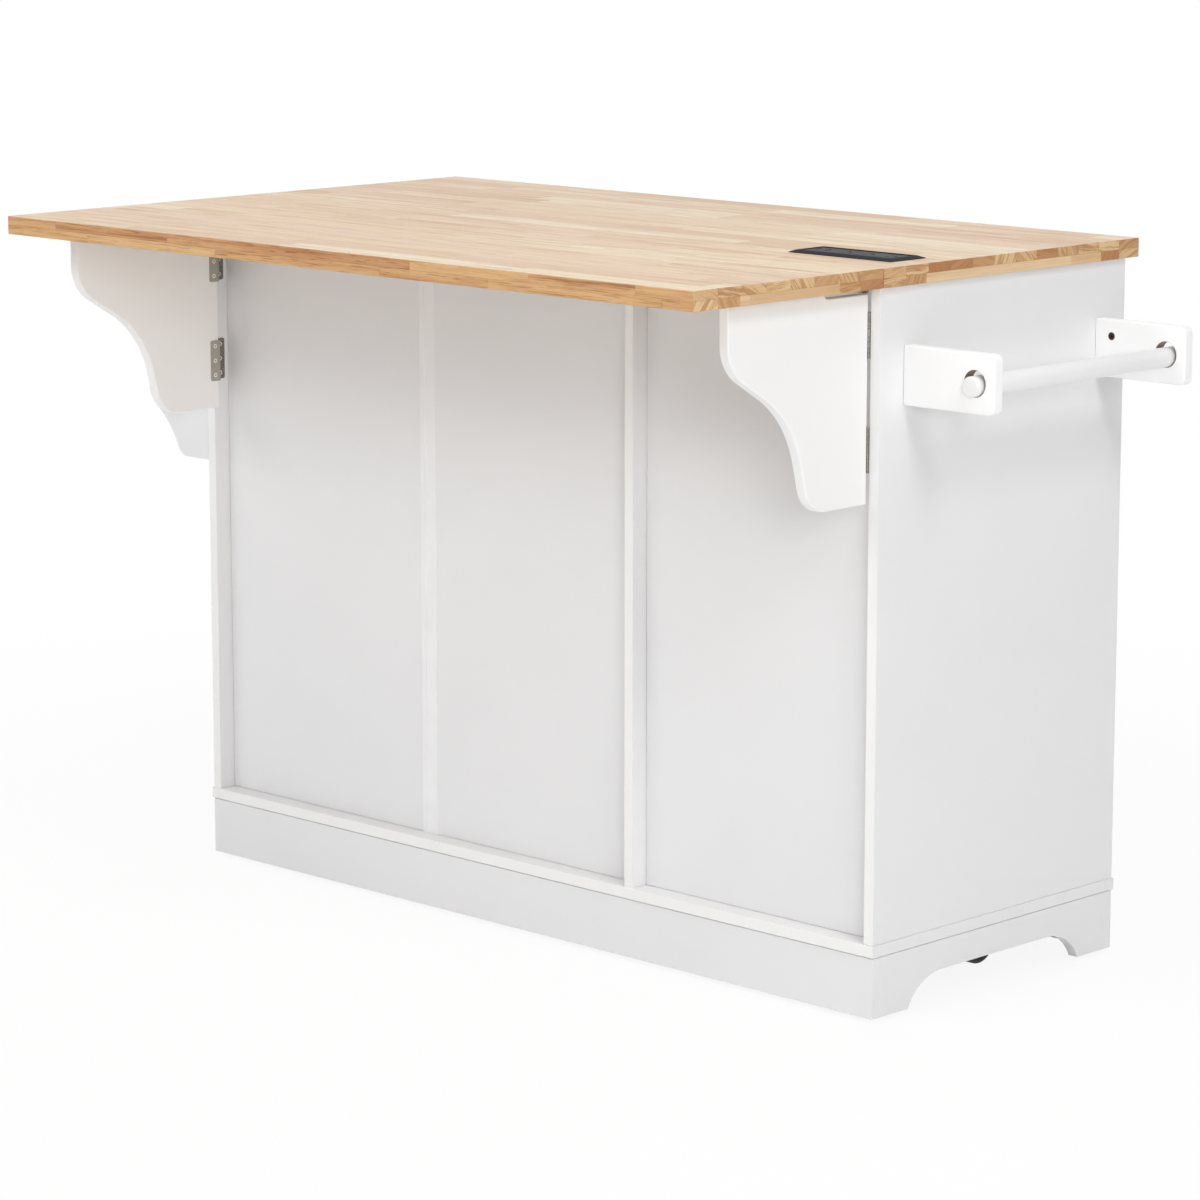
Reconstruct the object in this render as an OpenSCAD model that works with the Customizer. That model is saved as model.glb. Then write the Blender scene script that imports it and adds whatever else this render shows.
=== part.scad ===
// Drop leaf kitchen island on hidden casters.
// +X runs to the towel rail end, -Y to the seating side with the leaf, +Z up.
// The origin is on the floor under the middle of the whole outline. Millimetres.

/* [Worktop] */
// Height of the worktop above the floor
worktop_h = 926; // [900:1:960]
// Length of the worktop
top_l = 1240; // [1160:1:1400]
// Depth of the fixed part of the worktop
main_d = 492; // [470:1:560]
// Depth of the drop leaf
leaf_d = 327.5; // [300:0.5:420]
// Thickness of the worktop and the leaf
top_t = 24; // [20:1:36]
// Gap at the seam between the fixed part and the leaf
seam_gap = 1; // [0.6:0.1:2]
// How far the worktop reaches past each end of the body
end_overhang = 9; // [4:0.5:20]
// How far the worktop reaches past the doors
front_overhang = 16; // [8:0.5:24]
// How far the body stands inside the seam
rear_set = 5; // [4:0.5:9]

/* [Carcass] */
// Thickness of the side panels, partition, doors and drawer fronts
panel_t = 15; // [12:0.5:18]
// Thickness of the bottom board
bottom_t = 15; // [12:0.5:20]
// How far the bottom board stands proud of the panels
ledge = 2; // [0:0.5:6]
// Height of the plinth boards
plinth_h = 77.5; // [70:0.5:90]
// Thickness of the plinth boards
plinth_t = 15; // [12:0.5:18]
// Gap between the plinth and the floor, which the casters leave
plinth_lift = 6; // [3:0.5:12]
// Width of each foot beside the arch in the end plinth boards
foot_w = 68; // [50:1:100]
// Height of the arch in the end plinth boards
arch_h = 38.5; // [20:0.5:50]
// Run of the curve from a foot to the flat of the arch
arch_run = 66; // [30:1:90]
// Inside width of the drawer bay
drawer_bay_w = 390; // [340:1:420]
// Thickness of the back panels
back_t = 4; // [3:0.5:6]
// Depth of the recess outside the back panels
back_recess = 25; // [22:0.5:30]
// Distance from the drawer bay's end face to the joint strip
strip_from_end = 805; // [700:1:900]
// Width of the joint strip's flanges
strip_w = 28; // [20:1:36]
// Thickness of the joint strip's flanges
strip_t = 1.6; // [1:0.1:2.5]
// Height of the rails under the worktop at the back
rail_h = 60; // [40:1:90]
// Depth of the stretchers under the worktop at the front
stretcher_d = 70; // [50:1:100]
// Thickness of the rails, stretchers and shelf
rail_t = 15; // [12:0.5:18]
// Height of the shelf above the bottom board
shelf_h = 380; // [300:1:460]
// Room between the shelf and the back panels
shelf_room = 39.5; // [10:0.5:80]
// Play at each end of the shelf
shelf_play = 0.8; // [0.5:0.1:1.5]

/* [Leaf brackets] */
// How far a bracket reaches under the leaf
bracket_reach = 245; // [220:1:265]
// Height of a bracket
bracket_h = 261; // [240:1:300]
// Thickness of a bracket
bracket_t = 15; // [12:0.5:18]
// Play between a bracket's top edge and the leaf
bracket_play = 0.3; // [0.2:0.1:1]
// Clearance between a leaf hinge's knuckles and the notch under them
notch_room = 0.8; // [0.5:0.1:3]
// How far the notch reaches past a leaf hinge's long plate
notch_past = 13; // [12:0.5:30]
// Height of the first bracket hinge above the bracket's lower edge
bracket_hinge_low = 38; // [20:1:60]
// Height of the second bracket hinge above the bracket's lower edge
bracket_hinge_high = 175; // [120:1:180]

/* [Hinges] */
// Height of a bracket or door hinge
hinge_h = 56; // [50:1:64]
// Width of a hinge plate
hinge_w = 15; // [12:0.5:18]
// Thickness of a hinge plate
hinge_t = 1.2; // [1:0.1:1.4]
// Radius of the bracket and door hinge knuckles
knuckle_r = 2.5; // [2.2:0.1:2.7]
// Radius of the bracket and door hinge pins
pin_r = 1.4; // [1:0.1:1.6]
// Length of a leaf hinge along the seam
leaf_hinge_w = 38; // [30:1:44]
// Reach of a leaf hinge's short plate
leaf_hinge_short = 24; // [20:0.5:26]
// Reach of a leaf hinge's long plate
leaf_hinge_long = 66; // [50:1:68]
// Radius of the leaf hinge knuckles
leaf_knuckle_r = 3.2; // [2.8:0.1:3.4]
// Drop of the leaf hinge pins below the worktop
leaf_pin_drop = 4.5; // [4.2:0.1:4.8]
// Clearance that a turning pin or shaft has in its bore
bore_play = 0.05; // [0.02:0.01:0.1]
// Gap between neighbouring knuckles and other moving metal faces
metal_gap = 0.3; // [0.2:0.05:0.5]

/* [Doors and drawers] */
// Gap at the hinge side of a door
door_gap = 3; // [2.8:0.1:4]
// Gap where fronts meet each other, the bottom board and the stretcher
front_gap = 2; // [1.5:0.1:4]
// Width of the frame round a door's or drawer's sunk field
frame_w = 55; // [40:1:60]
// Depth of the sunk field
field_sink = 4; // [2:0.5:6]
// Height of the door hinges from the door's ends
door_hinge_inset = 90; // [60:1:140]
// Height of the top drawer's front
top_drawer_h = 180; // [150:1:220]
// Room between the drawer boxes and the rail behind them
drawer_room = 32.5; // [10:0.5:60]
// Thickness of a drawer box's walls
drawer_wall = 12; // [9:0.5:15]
// Thickness of a drawer's bottom
drawer_floor = 5; // [3:0.5:8]
// Room at each side of a drawer box for its runner
runner_room = 13; // [12:0.5:15]
// Height of a runner
runner_h = 36; // [30:1:45]
// Length of a knob
knob_l = 26; // [22:0.5:30]
// Radius of a knob's head
knob_r = 14; // [10:0.5:17]

/* [Towel rack] */
// Length of a towel rack plate
rack_l = 140; // [120:1:170]
// Height of a towel rack plate
rack_h = 73; // [60:1:90]
// Thickness of a towel rack plate
rack_t = 16; // [12:0.5:20]
// Distance from the worktop's surface down to a plate's top edge
rack_drop = 95.5; // [60:0.5:160]
// Distance from a plate to the body's front or rear face
rack_inset = 43; // [30:1:60]
// Radius of a plate's outer corners
rack_corner_r = 9; // [4:0.5:14]
// Radius of the holes that hold the towel bar
rack_hole_r = 16; // [14:0.5:20]
// Distance from a hole's centre to the plate's outer end
rack_hole_end = 30; // [26:0.5:40]
// Radius of the towel bar
bar_r = 12.5; // [10:0.5:13]
// How far the towel bar stands out of each plate
bar_proud = 9; // [4:0.5:20]

/* [Spice rack] */
// How far the spice rack reaches from the body
spice_d = 126; // [110:1:140]
// Distance from the worktop's surface down to the rack's top
spice_drop = 60; // [50:1:100]
// Height of the rack's side boards
spice_h = 302; // [270:1:340]
// Height of the lower shelf's top above the rack's lower edge
spice_shelf_low = 92; // [80:1:110]
// Height between the two shelves
spice_shelf_step = 112; // [95:1:130]
// Thickness of the rack's boards
spice_t = 12; // [9:0.5:15]
// Height of a guard rail
guard_h = 30; // [20:1:40]
// Height of a guard rail above its shelf
guard_up = 18; // [10:1:30]

/* [Power strip] */
// Length of the power strip's flange
strip_l = 165; // [150:1:200]
// Width of the power strip's flange
strip_d = 65; // [58:1:80]
// Height of the flange above the worktop
strip_rise = 3.6; // [2:0.1:6]
// Distance from the flange to the worktop's end
strip_from_top_end = 36; // [30:1:90]
// Distance from the flange to the seam
strip_from_seam = 55; // [50:1:90]
// Depth of the power strip's case below the surface
strip_depth = 42; // [36:1:46]

/* [Casters] */
// Radius of a caster wheel
wheel_r = 30; // [26:0.5:30]
// Width of a caster wheel
wheel_w = 22; // [16:0.5:24]
// Distance from a caster's pivot to its axle
caster_trail = 28; // [22:0.5:30]
// Distance from a caster's pivot to the end face
caster_from_end = 94; // [94:1:140]
// Distance from a caster's pivot to the front or rear face
caster_from_face = 135; // [100:1:170]
// Width of a caster's square plate
caster_plate_w = 58; // [50:1:62]

/* [Hidden] */
$fn = 48;
eps = 0.01;

// Stations along X
body_w = top_l - 2 * end_overhang;
total_l = spice_d + body_w + rack_l;
x_left = -total_l / 2 + spice_d;
x_right = x_left + body_w;
x_part1 = x_right - panel_t - drawer_bay_w;
x_part0 = x_part1 - panel_t;
x_strip = x_right - strip_from_end;
x_bay0 = x_left + panel_t;
x_bay1 = x_right - panel_t;

// Stations along Y
body_d = main_d + seam_gap / 2 - rear_set - front_overhang;
total_d = leaf_d + seam_gap / 2 + rear_set + body_d + knob_l;
y_seam = -total_d / 2 + leaf_d + seam_gap / 2;
y_rear = y_seam + rear_set;
y_front = y_rear + body_d;
y_back = y_rear + back_recess;
y_in = y_back + back_t;

// Heights
z_under = worktop_h - top_t;
z_board = plinth_lift + plinth_h;
z_floor = z_board + bottom_t;
z_fronts0 = z_floor + front_gap;
z_fronts1 = z_under - rail_t - front_gap;
z_shelf = z_floor + shelf_h;

// Scrolled outlines: [height of the nose, its radius, angle and length of the upper slope,
// radius of the cove, angle of the lower slope, radius of the heel]
BRACKET_SCROLL = [bracket_h - 47, 55, 31, 46, 135, 76, 37];
SPICE_SCROLL = [97, 38, 35, 0, 135, 65, 20];

// Leaf brackets and their hinges, measured from the pin
bracket_pin_x = knuckle_r + metal_gap;
bracket_gap = knuckle_r + metal_gap + hinge_t;
notch_h = leaf_pin_drop + leaf_knuckle_r + notch_room - bracket_play;
notch_l = leaf_hinge_long + notch_past;
bracket_z1 = z_under - bracket_play;
bracket_z0 = bracket_z1 - bracket_h;
bracket_hinges = [bracket_z0 + bracket_hinge_low, bracket_z0 + bracket_hinge_high];
hinge_screws_z = [8, hinge_h / 2, hinge_h - 8];

// Leaf hinges: one over each bracket and one between them
leaf_hinge_x = [x_bay0 + 2 + leaf_hinge_w / 2, (x_left + x_right) / 2, x_bay1 - 2 - leaf_hinge_w / 2];
leaf_plate_t = 1.5;
leaf_long_screws = [16, 34, 54];
leaf_pin_z = z_under - leaf_pin_drop;

// Screws
screw_r = 1.5;
screw_head_r = 3;
screw_head_h = 1.4;
screw_l = 12;
leaf_screw_l = 16;
screw_play = 0.05;

// Doors
door_pin_y = y_front + knuckle_r + metal_gap;
door_meet = 3;
wide_bay_w = x_part0 - x_bay0;
door_w = (wide_bay_w - 2 * door_gap - door_meet) / 2;
door_hinges = [z_fronts0 + door_hinge_inset, z_fronts1 - door_hinge_inset - hinge_h];
door_plate_t = (door_gap - metal_gap) / 2 - 0.2;
door_screws_z = [12, hinge_h - 12];
knob_edge = 30;
knob_drop = 70;
knob_screw_r = 2;
knob_screw_head = 2.5;

// Drawers: [bottom of the front, height of the front], from the top down
low_drawer_h = (z_fronts1 - z_fronts0 - top_drawer_h - 2 * front_gap) / 2;
DRAWERS = [
    [z_fronts1 - top_drawer_h, top_drawer_h],
    [z_fronts0 + low_drawer_h + front_gap, low_drawer_h],
    [z_fronts0, low_drawer_h]
];
drawer_x = (x_part1 + x_bay1) / 2;
drawer_box_w = drawer_bay_w - 2 * runner_room;
drawer_y1 = y_front - panel_t;
drawer_y0 = y_in + rail_t + drawer_room;
drawer_lift = 22;
drawer_fall = 34;
runner_t = 1.5;

// Shelf pins
shelf_pin_r = 2.5;
shelf_pin_l = 9;
shelf_pin_in = 9;
shelf_y1 = y_front - panel_t - 8;
shelf_y0 = y_in + shelf_room;
shelf_pin_y = [shelf_y0 + 45, shelf_y1 - 45];
shelf_pin_step = 64;

// Towel rack
rack_z1 = worktop_h - rack_drop;
rack_z0 = rack_z1 - rack_h;
rack_hole_x = x_right + rack_l - rack_hole_end;
rack_hole_z = (rack_z0 + rack_z1) / 2;
rack_y = [y_rear + rack_inset, y_front - rack_inset - rack_t];
cam_r = 5;
cam_l = 8.5;
cam_sink = 1;
cam_in = 26;
cam_spread = 15.5;
bar_z = rack_hole_z - rack_hole_r + bar_r + metal_gap;

// Spice rack
spice_z1 = worktop_h - spice_drop;
spice_z0 = spice_z1 - spice_h;
spice_y0 = y_rear;
spice_y1 = y_front;
spice_shelves_z = [spice_z0 + spice_shelf_low, spice_z0 + spice_shelf_low + spice_shelf_step];

// Power strip
strip_x1 = x_right + end_overhang - strip_from_top_end;
strip_x0 = strip_x1 - strip_l;
strip_y0 = y_seam + strip_from_seam;
strip_y1 = strip_y0 + strip_d;
strip_bevel = 7;
strip_case_in = 9;
strip_socket_n = 3;
strip_face_l = strip_l - 2 * strip_bevel - 6;
strip_face_d = strip_d - 2 * strip_bevel - 8;
strip_pitch = strip_face_l / (strip_socket_n + 1);
strip_face_depth = 20;
socket_sink = 0.8;
socket_play = 0.1;
slot_depth = 6;
plug_apart = 6.3;
port_w = 4.5;
port_l = 12.2;
port_apart = 8;
tongue_t = 1.9;

// Casters: [pivot x, pivot y], the first two with a brake
CASTERS = [
    [x_right - caster_from_end, y_front - caster_from_face],
    [x_left + caster_from_end, y_front - caster_from_face],
    [x_right - caster_from_end, y_rear + caster_from_face],
    [x_left + caster_from_end, y_rear + caster_from_face]
];
caster_plate_t = 2.5;
race_r = 20;
race_z = z_board - caster_plate_t - 6;
kingpin_r = 5;
kingpin_head = 2;
fork_t = 2.5;
fork_top_t = 3;
fork_z1 = race_z - metal_gap;
fork_half = wheel_w / 2 + metal_gap;
axle_r = 4;
axle_nut_r = 6.5;
axle_nut_h = 3;
caster_hole_at = caster_plate_w / 2 - 8;
caster_screw_r = 2;
shoe_l = 11.5;
shoe_in = 18;
shoe_gap = 1.5;
pedal_y = -caster_trail - shoe_in + 2;
pedal_z = wheel_r + sqrt(pow(wheel_r, 2) - pow(shoe_in, 2)) + shoe_gap + shoe_l;
pedal_pin_r = 2;
pedal_l = 27;
pedal_t = 3.5;
pedal_drop = 1;
pedal_boss_r = 4;
pedal_wide = 3;

// ---------------------------------------------------------------- helpers

// A block between two opposite corners
module block(low, high) {
    translate(low) cube(high - low);
}

// Turns +Z to the named direction
module facing(way) {
    rotate(way == "+x" ? [0, 90, 0] : way == "-x" ? [0, -90, 0] : way == "+y" ? [-90, 0, 0]
        : way == "-y" ? [90, 0, 0] : way == "-z" ? [180, 0, 0] : [0, 0, 0]) children();
}

// A tube along Z
module tube(h, ro, ri) {
    difference() {
        cylinder(h = h, r = ro);
        translate([0, 0, -1]) cylinder(h = h + 2, r = ri);
    }
}

// A countersunk screw whose head is flush with z = 0
module screw(l) {
    translate([0, 0, -screw_head_h]) cylinder(h = screw_head_h, r1 = screw_r, r2 = screw_head_r);
    translate([0, 0, -l]) cylinder(h = l - screw_head_h + eps, r = screw_r);
}

// The room that a countersunk screw takes
module screw_room(l) {
    p = screw_play;
    translate([0, 0, -screw_head_h - p])
        cylinder(h = screw_head_h + p + eps, r1 = screw_r + p, r2 = screw_head_r + 2 * p);
    translate([0, 0, -l - p]) cylinder(h = l + p, r = screw_r + p);
}

// Points of an arc, from angle a0 to a1
function arc(c, r, a0, a1, n) = [for (i = [0:n]) let (a = a0 + (a1 - a0) * i / n) c + r * [cos(a), sin(a)]];

// Outline of a scrolled bracket with its corner at the wall: reach across, height up.
// A nose arc, a straight slope, a hollow cove, a second slope and a heel arc follow one
// another without a kink. The slopes are given in degrees below the horizontal.
function scroll(reach, height, s) =
    let (
        nose_r = s[1], slope_top = s[2], slope_l = s[3], cove_r = s[4], slope_low = s[5], heel_r = s[6],
        nose_c = [reach - nose_r, s[0]],
        nose_end = nose_c + nose_r * [sin(slope_top), -cos(slope_top)],
        cove_start = nose_end - slope_l * [cos(slope_top), sin(slope_top)],
        cove_c = cove_start + cove_r * [sin(slope_top), -cos(slope_top)],
        cove_end = cove_c + cove_r * [-sin(slope_low), cos(slope_low)],
        heel_z = heel_r * (1 - cos(slope_low)),
        heel_start = [cove_end[0] - (cove_end[1] - heel_z) / tan(slope_low), heel_z],
        heel_c = heel_start + heel_r * [-sin(slope_low), cos(slope_low)]
    )
    concat([[0, 0], [0, height], [reach, height]], arc(nose_c, nose_r, 0, slope_top - 90, 8),
        arc(cove_c, cove_r, 90 + slope_top, 90 + slope_low, 12),
        arc(heel_c, heel_r, slope_low - 90, -90, 8));

// A rectangle with round corners, from the origin
module round_rect(w, h, r) {
    translate([r, 0]) square([w - 2 * r, h]);
    translate([0, r]) square([w, h - 2 * r]);
    for (x = [r, w - r], y = [r, h - r]) translate([x, y]) circle(r = r);
}

// Moves to a bracket's pin: +x then runs along the island inwards, +y into the body
module at_bracket(side) {
    translate([side < 0 ? x_bay0 + bracket_pin_x : x_bay1 - bracket_pin_x, y_rear, 0])
        mirror([side < 0 ? 0 : 1, 0, 0]) children();
}

// Moves to a door's pin: +x runs along the closed door, +y out of the front
module at_door(side) {
    translate([side < 0 ? x_bay0 + door_gap / 2 : x_part0 - door_gap / 2, door_pin_y, 0])
        mirror([side < 0 ? 0 : 1, 0, 0]) children();
}

// Moves to the pin of each leaf hinge, at the middle of its length
module at_leaf_hinges() {
    for (x = leaf_hinge_x) translate([x, y_seam, leaf_pin_z]) children();
}

// ---------------------------------------------------------------- worktop and leaf

module main_top() color("burlywood") {
    x0 = x_left - end_overhang;
    difference() {
        block([x0, y_seam + seam_gap / 2, z_under], [x0 + top_l, y_front + front_overhang, worktop_h]);
        block([strip_x0 + strip_case_in - 1, strip_y0 + strip_case_in - 1, z_under - 1],
            [strip_x1 - strip_case_in + 1, strip_y1 - strip_case_in + 1, worktop_h + 1]);
        short_plate_screws(true);
    }
}

module drop_leaf() color("burlywood") {
    x0 = x_left - end_overhang;
    difference() {
        block([x0, y_seam - seam_gap / 2 - leaf_d, z_under], [x0 + top_l, y_seam - seam_gap / 2, worktop_h]);
        long_plate_screws(true);
    }
}

// ---------------------------------------------------------------- carcass

module side_panel_right() color("white") {
    difference() {
        block([x_bay1, y_rear, z_floor], [x_right, y_front, z_under]);
        wall_plate_screws(1, true);
    }
}

module side_panel_left() color("white") {
    difference() {
        block([x_left, y_rear, z_floor], [x_bay0, y_front, z_under]);
        wall_plate_screws(-1, true);
        door_wall_screws(-1, true);
        pin_holes(x_bay0, -1);
    }
}

module partition() color("white") {
    difference() {
        block([x_part0, y_rear, z_floor], [x_part1, y_front, z_under]);
        door_wall_screws(1, true);
        pin_holes(x_part0, 1);
    }
}

module bottom_board() color("white") {
    difference() {
        block([x_left - ledge, y_rear - ledge, z_board], [x_right + ledge, y_front + ledge, z_floor]);
        plate_screws(true);
    }
}

module back_panels() color("white") {
    web = strip_t;
    for (x = [[x_bay0, x_strip - web / 2], [x_strip + web / 2, x_part0], [x_part1, x_bay1]])
        block([x[0], y_back, z_floor], [x[1], y_in, z_under]);
}

module back_joint_strip() color("whitesmoke") {
    block([x_strip - strip_w / 2, y_back - strip_t, z_floor], [x_strip + strip_w / 2, y_back, z_under]);
    block([x_strip - strip_w / 2, y_in, z_floor], [x_strip + strip_w / 2, y_in + strip_t, z_under]);
    block([x_strip - strip_t / 2, y_back - strip_t, z_floor], [x_strip + strip_t / 2, y_in + strip_t, z_under]);
}

module plinth_long_boards() color("white") {
    for (y = [y_rear, y_front - plinth_t])
        block([x_left, y, plinth_lift], [x_right, y + plinth_t, z_board]);
}

// An end board between the long ones, with the arch cut from its lower edge.
// Each side of the arch is the upper part of an ellipse, which leaves the foot at a slope.
module plinth_end_boards() color("white") {
    start = 20;
    span = body_d - 2 * foot_w;
    curve = [for (a = [start:7:90]) [
        arch_run * (cos(start) - cos(a)) / cos(start), arch_h * (sin(a) - sin(start)) / (1 - sin(start))]];
    arch = concat([[0, -1]], curve, [for (i = [len(curve) - 1:-1:0]) [span - curve[i][0], curve[i][1]]],
        [[span, -1]]);
    for (x = [x_left, x_right - plinth_t])
        difference() {
            block([x, y_rear + plinth_t, plinth_lift], [x + plinth_t, y_front - plinth_t, z_board]);
            translate([x - 1, y_rear + foot_w, plinth_lift])
                rotate([90, 0, 90]) linear_extrude(plinth_t + 2) polygon(arch);
        }
}

// A rail at the back and a flat stretcher at the front of each bay, under the worktop
module top_rails() color("white") {
    for (x = [[x_bay0, x_part0], [x_part1, x_bay1]]) {
        clear = x[0] == x_bay0 ? strip_t : 0;
        block([x[0], y_in + clear, z_under - rail_h], [x[1], y_in + clear + rail_t, z_under]);
        block([x[0], y_front - stretcher_d, z_under - rail_t], [x[1], y_front, z_under]);
    }
}

module shelf() color("white") {
    block([x_bay0 + shelf_play, shelf_y0, z_shelf - rail_t], [x_part0 - shelf_play, shelf_y1, z_shelf]);
}

// Rows of blind holes for the shelf's pins: the pins' own height, one higher and one lower
module pin_holes(x, way) {
    for (y = shelf_pin_y, step = [-1, 0, 1])
        translate([x, y, z_shelf - rail_t - shelf_pin_r + step * shelf_pin_step])
            facing(way < 0 ? "-x" : "+x") translate([0, 0, -eps])
                cylinder(h = shelf_pin_in + bore_play + eps, r = shelf_pin_r + bore_play);
}

module shelf_pins() color("silver") {
    for (y = shelf_pin_y, wall = [[x_bay0, 1], [x_part0, -1]])
        translate([wall[0] - wall[1] * shelf_pin_in, y, z_shelf - rail_t - shelf_pin_r])
            facing(wall[1] > 0 ? "+x" : "-x") cylinder(h = shelf_pin_in + shelf_pin_l, r = shelf_pin_r);
}

// ---------------------------------------------------------------- hinges

// The knuckles of one half of a hinge along Z. Odd or even ones are its own.
module knuckles(h, r, n, first) {
    pitch = h / n;
    for (i = [first:2:n - 1])
        translate([0, 0, i * pitch + (i == 0 ? 0 : metal_gap / 2)])
            cylinder(h = pitch - (i == 0 || i == n - 1 ? metal_gap / 2 : metal_gap), r = r);
}

// What joins a plate to its own knuckles: a block cut to their heights
module knuckle_arms(h, n, first, low, high) {
    pitch = h / n;
    for (i = [first:2:n - 1])
        block([low[0], low[1], i * pitch + (i == 0 ? 0 : metal_gap / 2)],
            [high[0], high[1], (i + 1) * pitch - (i == n - 1 ? 0 : metal_gap / 2)]);
}

module pin_bore(h, r) {
    translate([0, 0, -1]) cylinder(h = h + 2, r = r + bore_play);
}

// Screws of a bracket hinge's wall plate, in the side panel's inner face
module wall_plate_screws(side, room) {
    at_bracket(side) for (z0 = bracket_hinges, z = hinge_screws_z)
        translate([hinge_t - bracket_pin_x, knuckle_r + metal_gap + hinge_w / 2, z0 + z]) facing("+x")
            if (room) screw_room(screw_l); else screw(screw_l);
}

// Screws of a bracket's own hinge plate, in the bracket's inner face
module bracket_plate_screws(room) {
    for (z0 = bracket_hinges, z = hinge_screws_z)
        translate([bracket_t - bracket_pin_x + hinge_t, -bracket_gap - hinge_w / 2, z0 + z]) facing("+x")
            if (room) screw_room(screw_l); else screw(screw_l);
}

module bracket_hinge_wall_plates() color("silver") {
    x0 = -bracket_pin_x;
    y0 = knuckle_r + metal_gap;
    for (side = [-1, 1]) difference() {
        at_bracket(side) for (z = bracket_hinges) translate([0, 0, z]) difference() {
            union() {
                translate([x0, y0, 0]) rotate([90, 0, 90])
                    linear_extrude(hinge_t) round_rect(hinge_w, hinge_h, 3);
                knuckle_arms(hinge_h, 3, 0, [x0, 0], [x0 + hinge_t, y0 + 3]);
                knuckles(hinge_h, knuckle_r, 3, 0);
            }
            pin_bore(hinge_h, pin_r);
        }
        wall_plate_screws(side, true);
    }
}

// Each moving plate wraps round the bracket's rear edge to its inner face
module bracket_hinges_for(side) color("silver") {
    x1 = bracket_t - bracket_pin_x;
    y0 = -bracket_gap;
    at_bracket(side) {
        difference() {
            for (z = bracket_hinges) translate([0, 0, z]) difference() {
                union() {
                    translate([x1, y0 - hinge_w, 0]) rotate([90, 0, 90])
                        linear_extrude(hinge_t) round_rect(hinge_w + hinge_t, hinge_h, 3);
                    block([0, y0, 0], [x1 + hinge_t, y0 + hinge_t, hinge_h]);
                    knuckle_arms(hinge_h, 3, 1, [-hinge_t / 2, y0], [hinge_t / 2, 0]);
                    knuckles(hinge_h, knuckle_r, 3, 1);
                }
                pin_bore(hinge_h, pin_r);
            }
            bracket_plate_screws(true);
        }
        bracket_plate_screws(false);
    }
}

// Screws of the leaf hinges: three in the worktop, three in the leaf
module short_plate_screws(room) {
    at_leaf_hinges() for (x = [-1, 0, 1])
        translate([x * (leaf_hinge_w / 2 - 7), leaf_hinge_short - (x == 0 ? 13 : 7),
            leaf_pin_drop - leaf_plate_t]) facing("-z")
            if (room) screw_room(leaf_screw_l); else screw(leaf_screw_l);
}

module long_plate_screws(room) {
    at_leaf_hinges() for (i = [0:len(leaf_long_screws) - 1])
        translate([(i == 1 ? 0 : i - 1) * (leaf_hinge_w / 2 - 9), -leaf_long_screws[i],
            leaf_pin_drop - leaf_plate_t]) facing("-z")
            if (room) screw_room(leaf_screw_l); else screw(leaf_screw_l);
}

// One half of a leaf hinge. way is +1 for the short plate under the worktop, -1 for the long
// one under the leaf.
module leaf_hinge_half(way, reach) {
    y0 = leaf_knuckle_r + metal_gap;
    first = way > 0 ? 0 : 1;
    z0 = leaf_pin_drop - leaf_plate_t;
    difference() {
        mirror([0, way > 0 ? 0 : 1, 0]) {
            translate([-leaf_hinge_w / 2, y0, z0])
                linear_extrude(leaf_plate_t) round_rect(leaf_hinge_w, reach - y0, 4);
            translate([-leaf_hinge_w / 2, 0, 0]) rotate([0, 90, 0]) {
                knuckle_arms(leaf_hinge_w, 5, first, [-leaf_pin_drop, seam_gap], [-z0 + 1, y0 + 4]);
                knuckles(leaf_hinge_w, leaf_knuckle_r, 5, first);
            }
        }
        translate([-leaf_hinge_w / 2, 0, 0]) rotate([0, 90, 0]) pin_bore(leaf_hinge_w, pin_r);
    }
}

module leaf_hinge_short_plates() color("silver") {
    difference() {
        at_leaf_hinges() leaf_hinge_half(1, leaf_hinge_short);
        short_plate_screws(true);
    }
}

module leaf_hinge_long_plates() color("silver") {
    difference() {
        at_leaf_hinges() leaf_hinge_half(-1, leaf_hinge_long);
        long_plate_screws(true);
    }
    long_plate_screws(false);
}

// Screws of a door hinge's wall plate and of its door plate
module door_wall_screws(side, room) {
    at_door(side) for (z0 = door_hinges, z = door_screws_z)
        translate([door_plate_t - door_gap / 2, y_front - door_pin_y - hinge_w / 2, z0 + z]) facing("+x")
            if (room) screw_room(screw_l); else screw(screw_l);
}

module door_plate_screws(room) {
    for (z0 = door_hinges, z = door_screws_z)
        translate([door_gap / 2 - door_plate_t, y_front - door_pin_y - panel_t / 2, z0 + z]) facing("-x")
            if (room) screw_room(2 * screw_l); else screw(2 * screw_l);
}

module door_hinge_wall_plates() color("silver") {
    y1 = y_front - door_pin_y;
    for (side = [-1, 1]) difference() {
        at_door(side) for (z = door_hinges) translate([0, 0, z]) difference() {
            union() {
                block([-door_gap / 2, y1 - hinge_w, 0], [-door_gap / 2 + door_plate_t, y1, hinge_h]);
                knuckle_arms(hinge_h, 3, 0, [-door_gap / 2, y1 - 1], [-door_gap / 2 + door_plate_t, 0]);
                knuckles(hinge_h, knuckle_r, 3, 0);
            }
            pin_bore(hinge_h, pin_r);
        }
        door_wall_screws(side, true);
    }
}

module door_hinges_for(side) color("silver") {
    y1 = y_front - door_pin_y;
    w = min(hinge_w, panel_t - 1);
    at_door(side) {
        difference() {
            for (z = door_hinges) translate([0, 0, z]) difference() {
                union() {
                    block([door_gap / 2 - door_plate_t, y1 - w, 0], [door_gap / 2, y1, hinge_h]);
                    knuckle_arms(hinge_h, 3, 1, [door_gap / 2 - door_plate_t, y1 - 1], [door_gap / 2, 0]);
                    knuckles(hinge_h, knuckle_r, 3, 1);
                }
                pin_bore(hinge_h, pin_r);
            }
            door_plate_screws(true);
        }
        door_plate_screws(false);
    }
}

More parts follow.
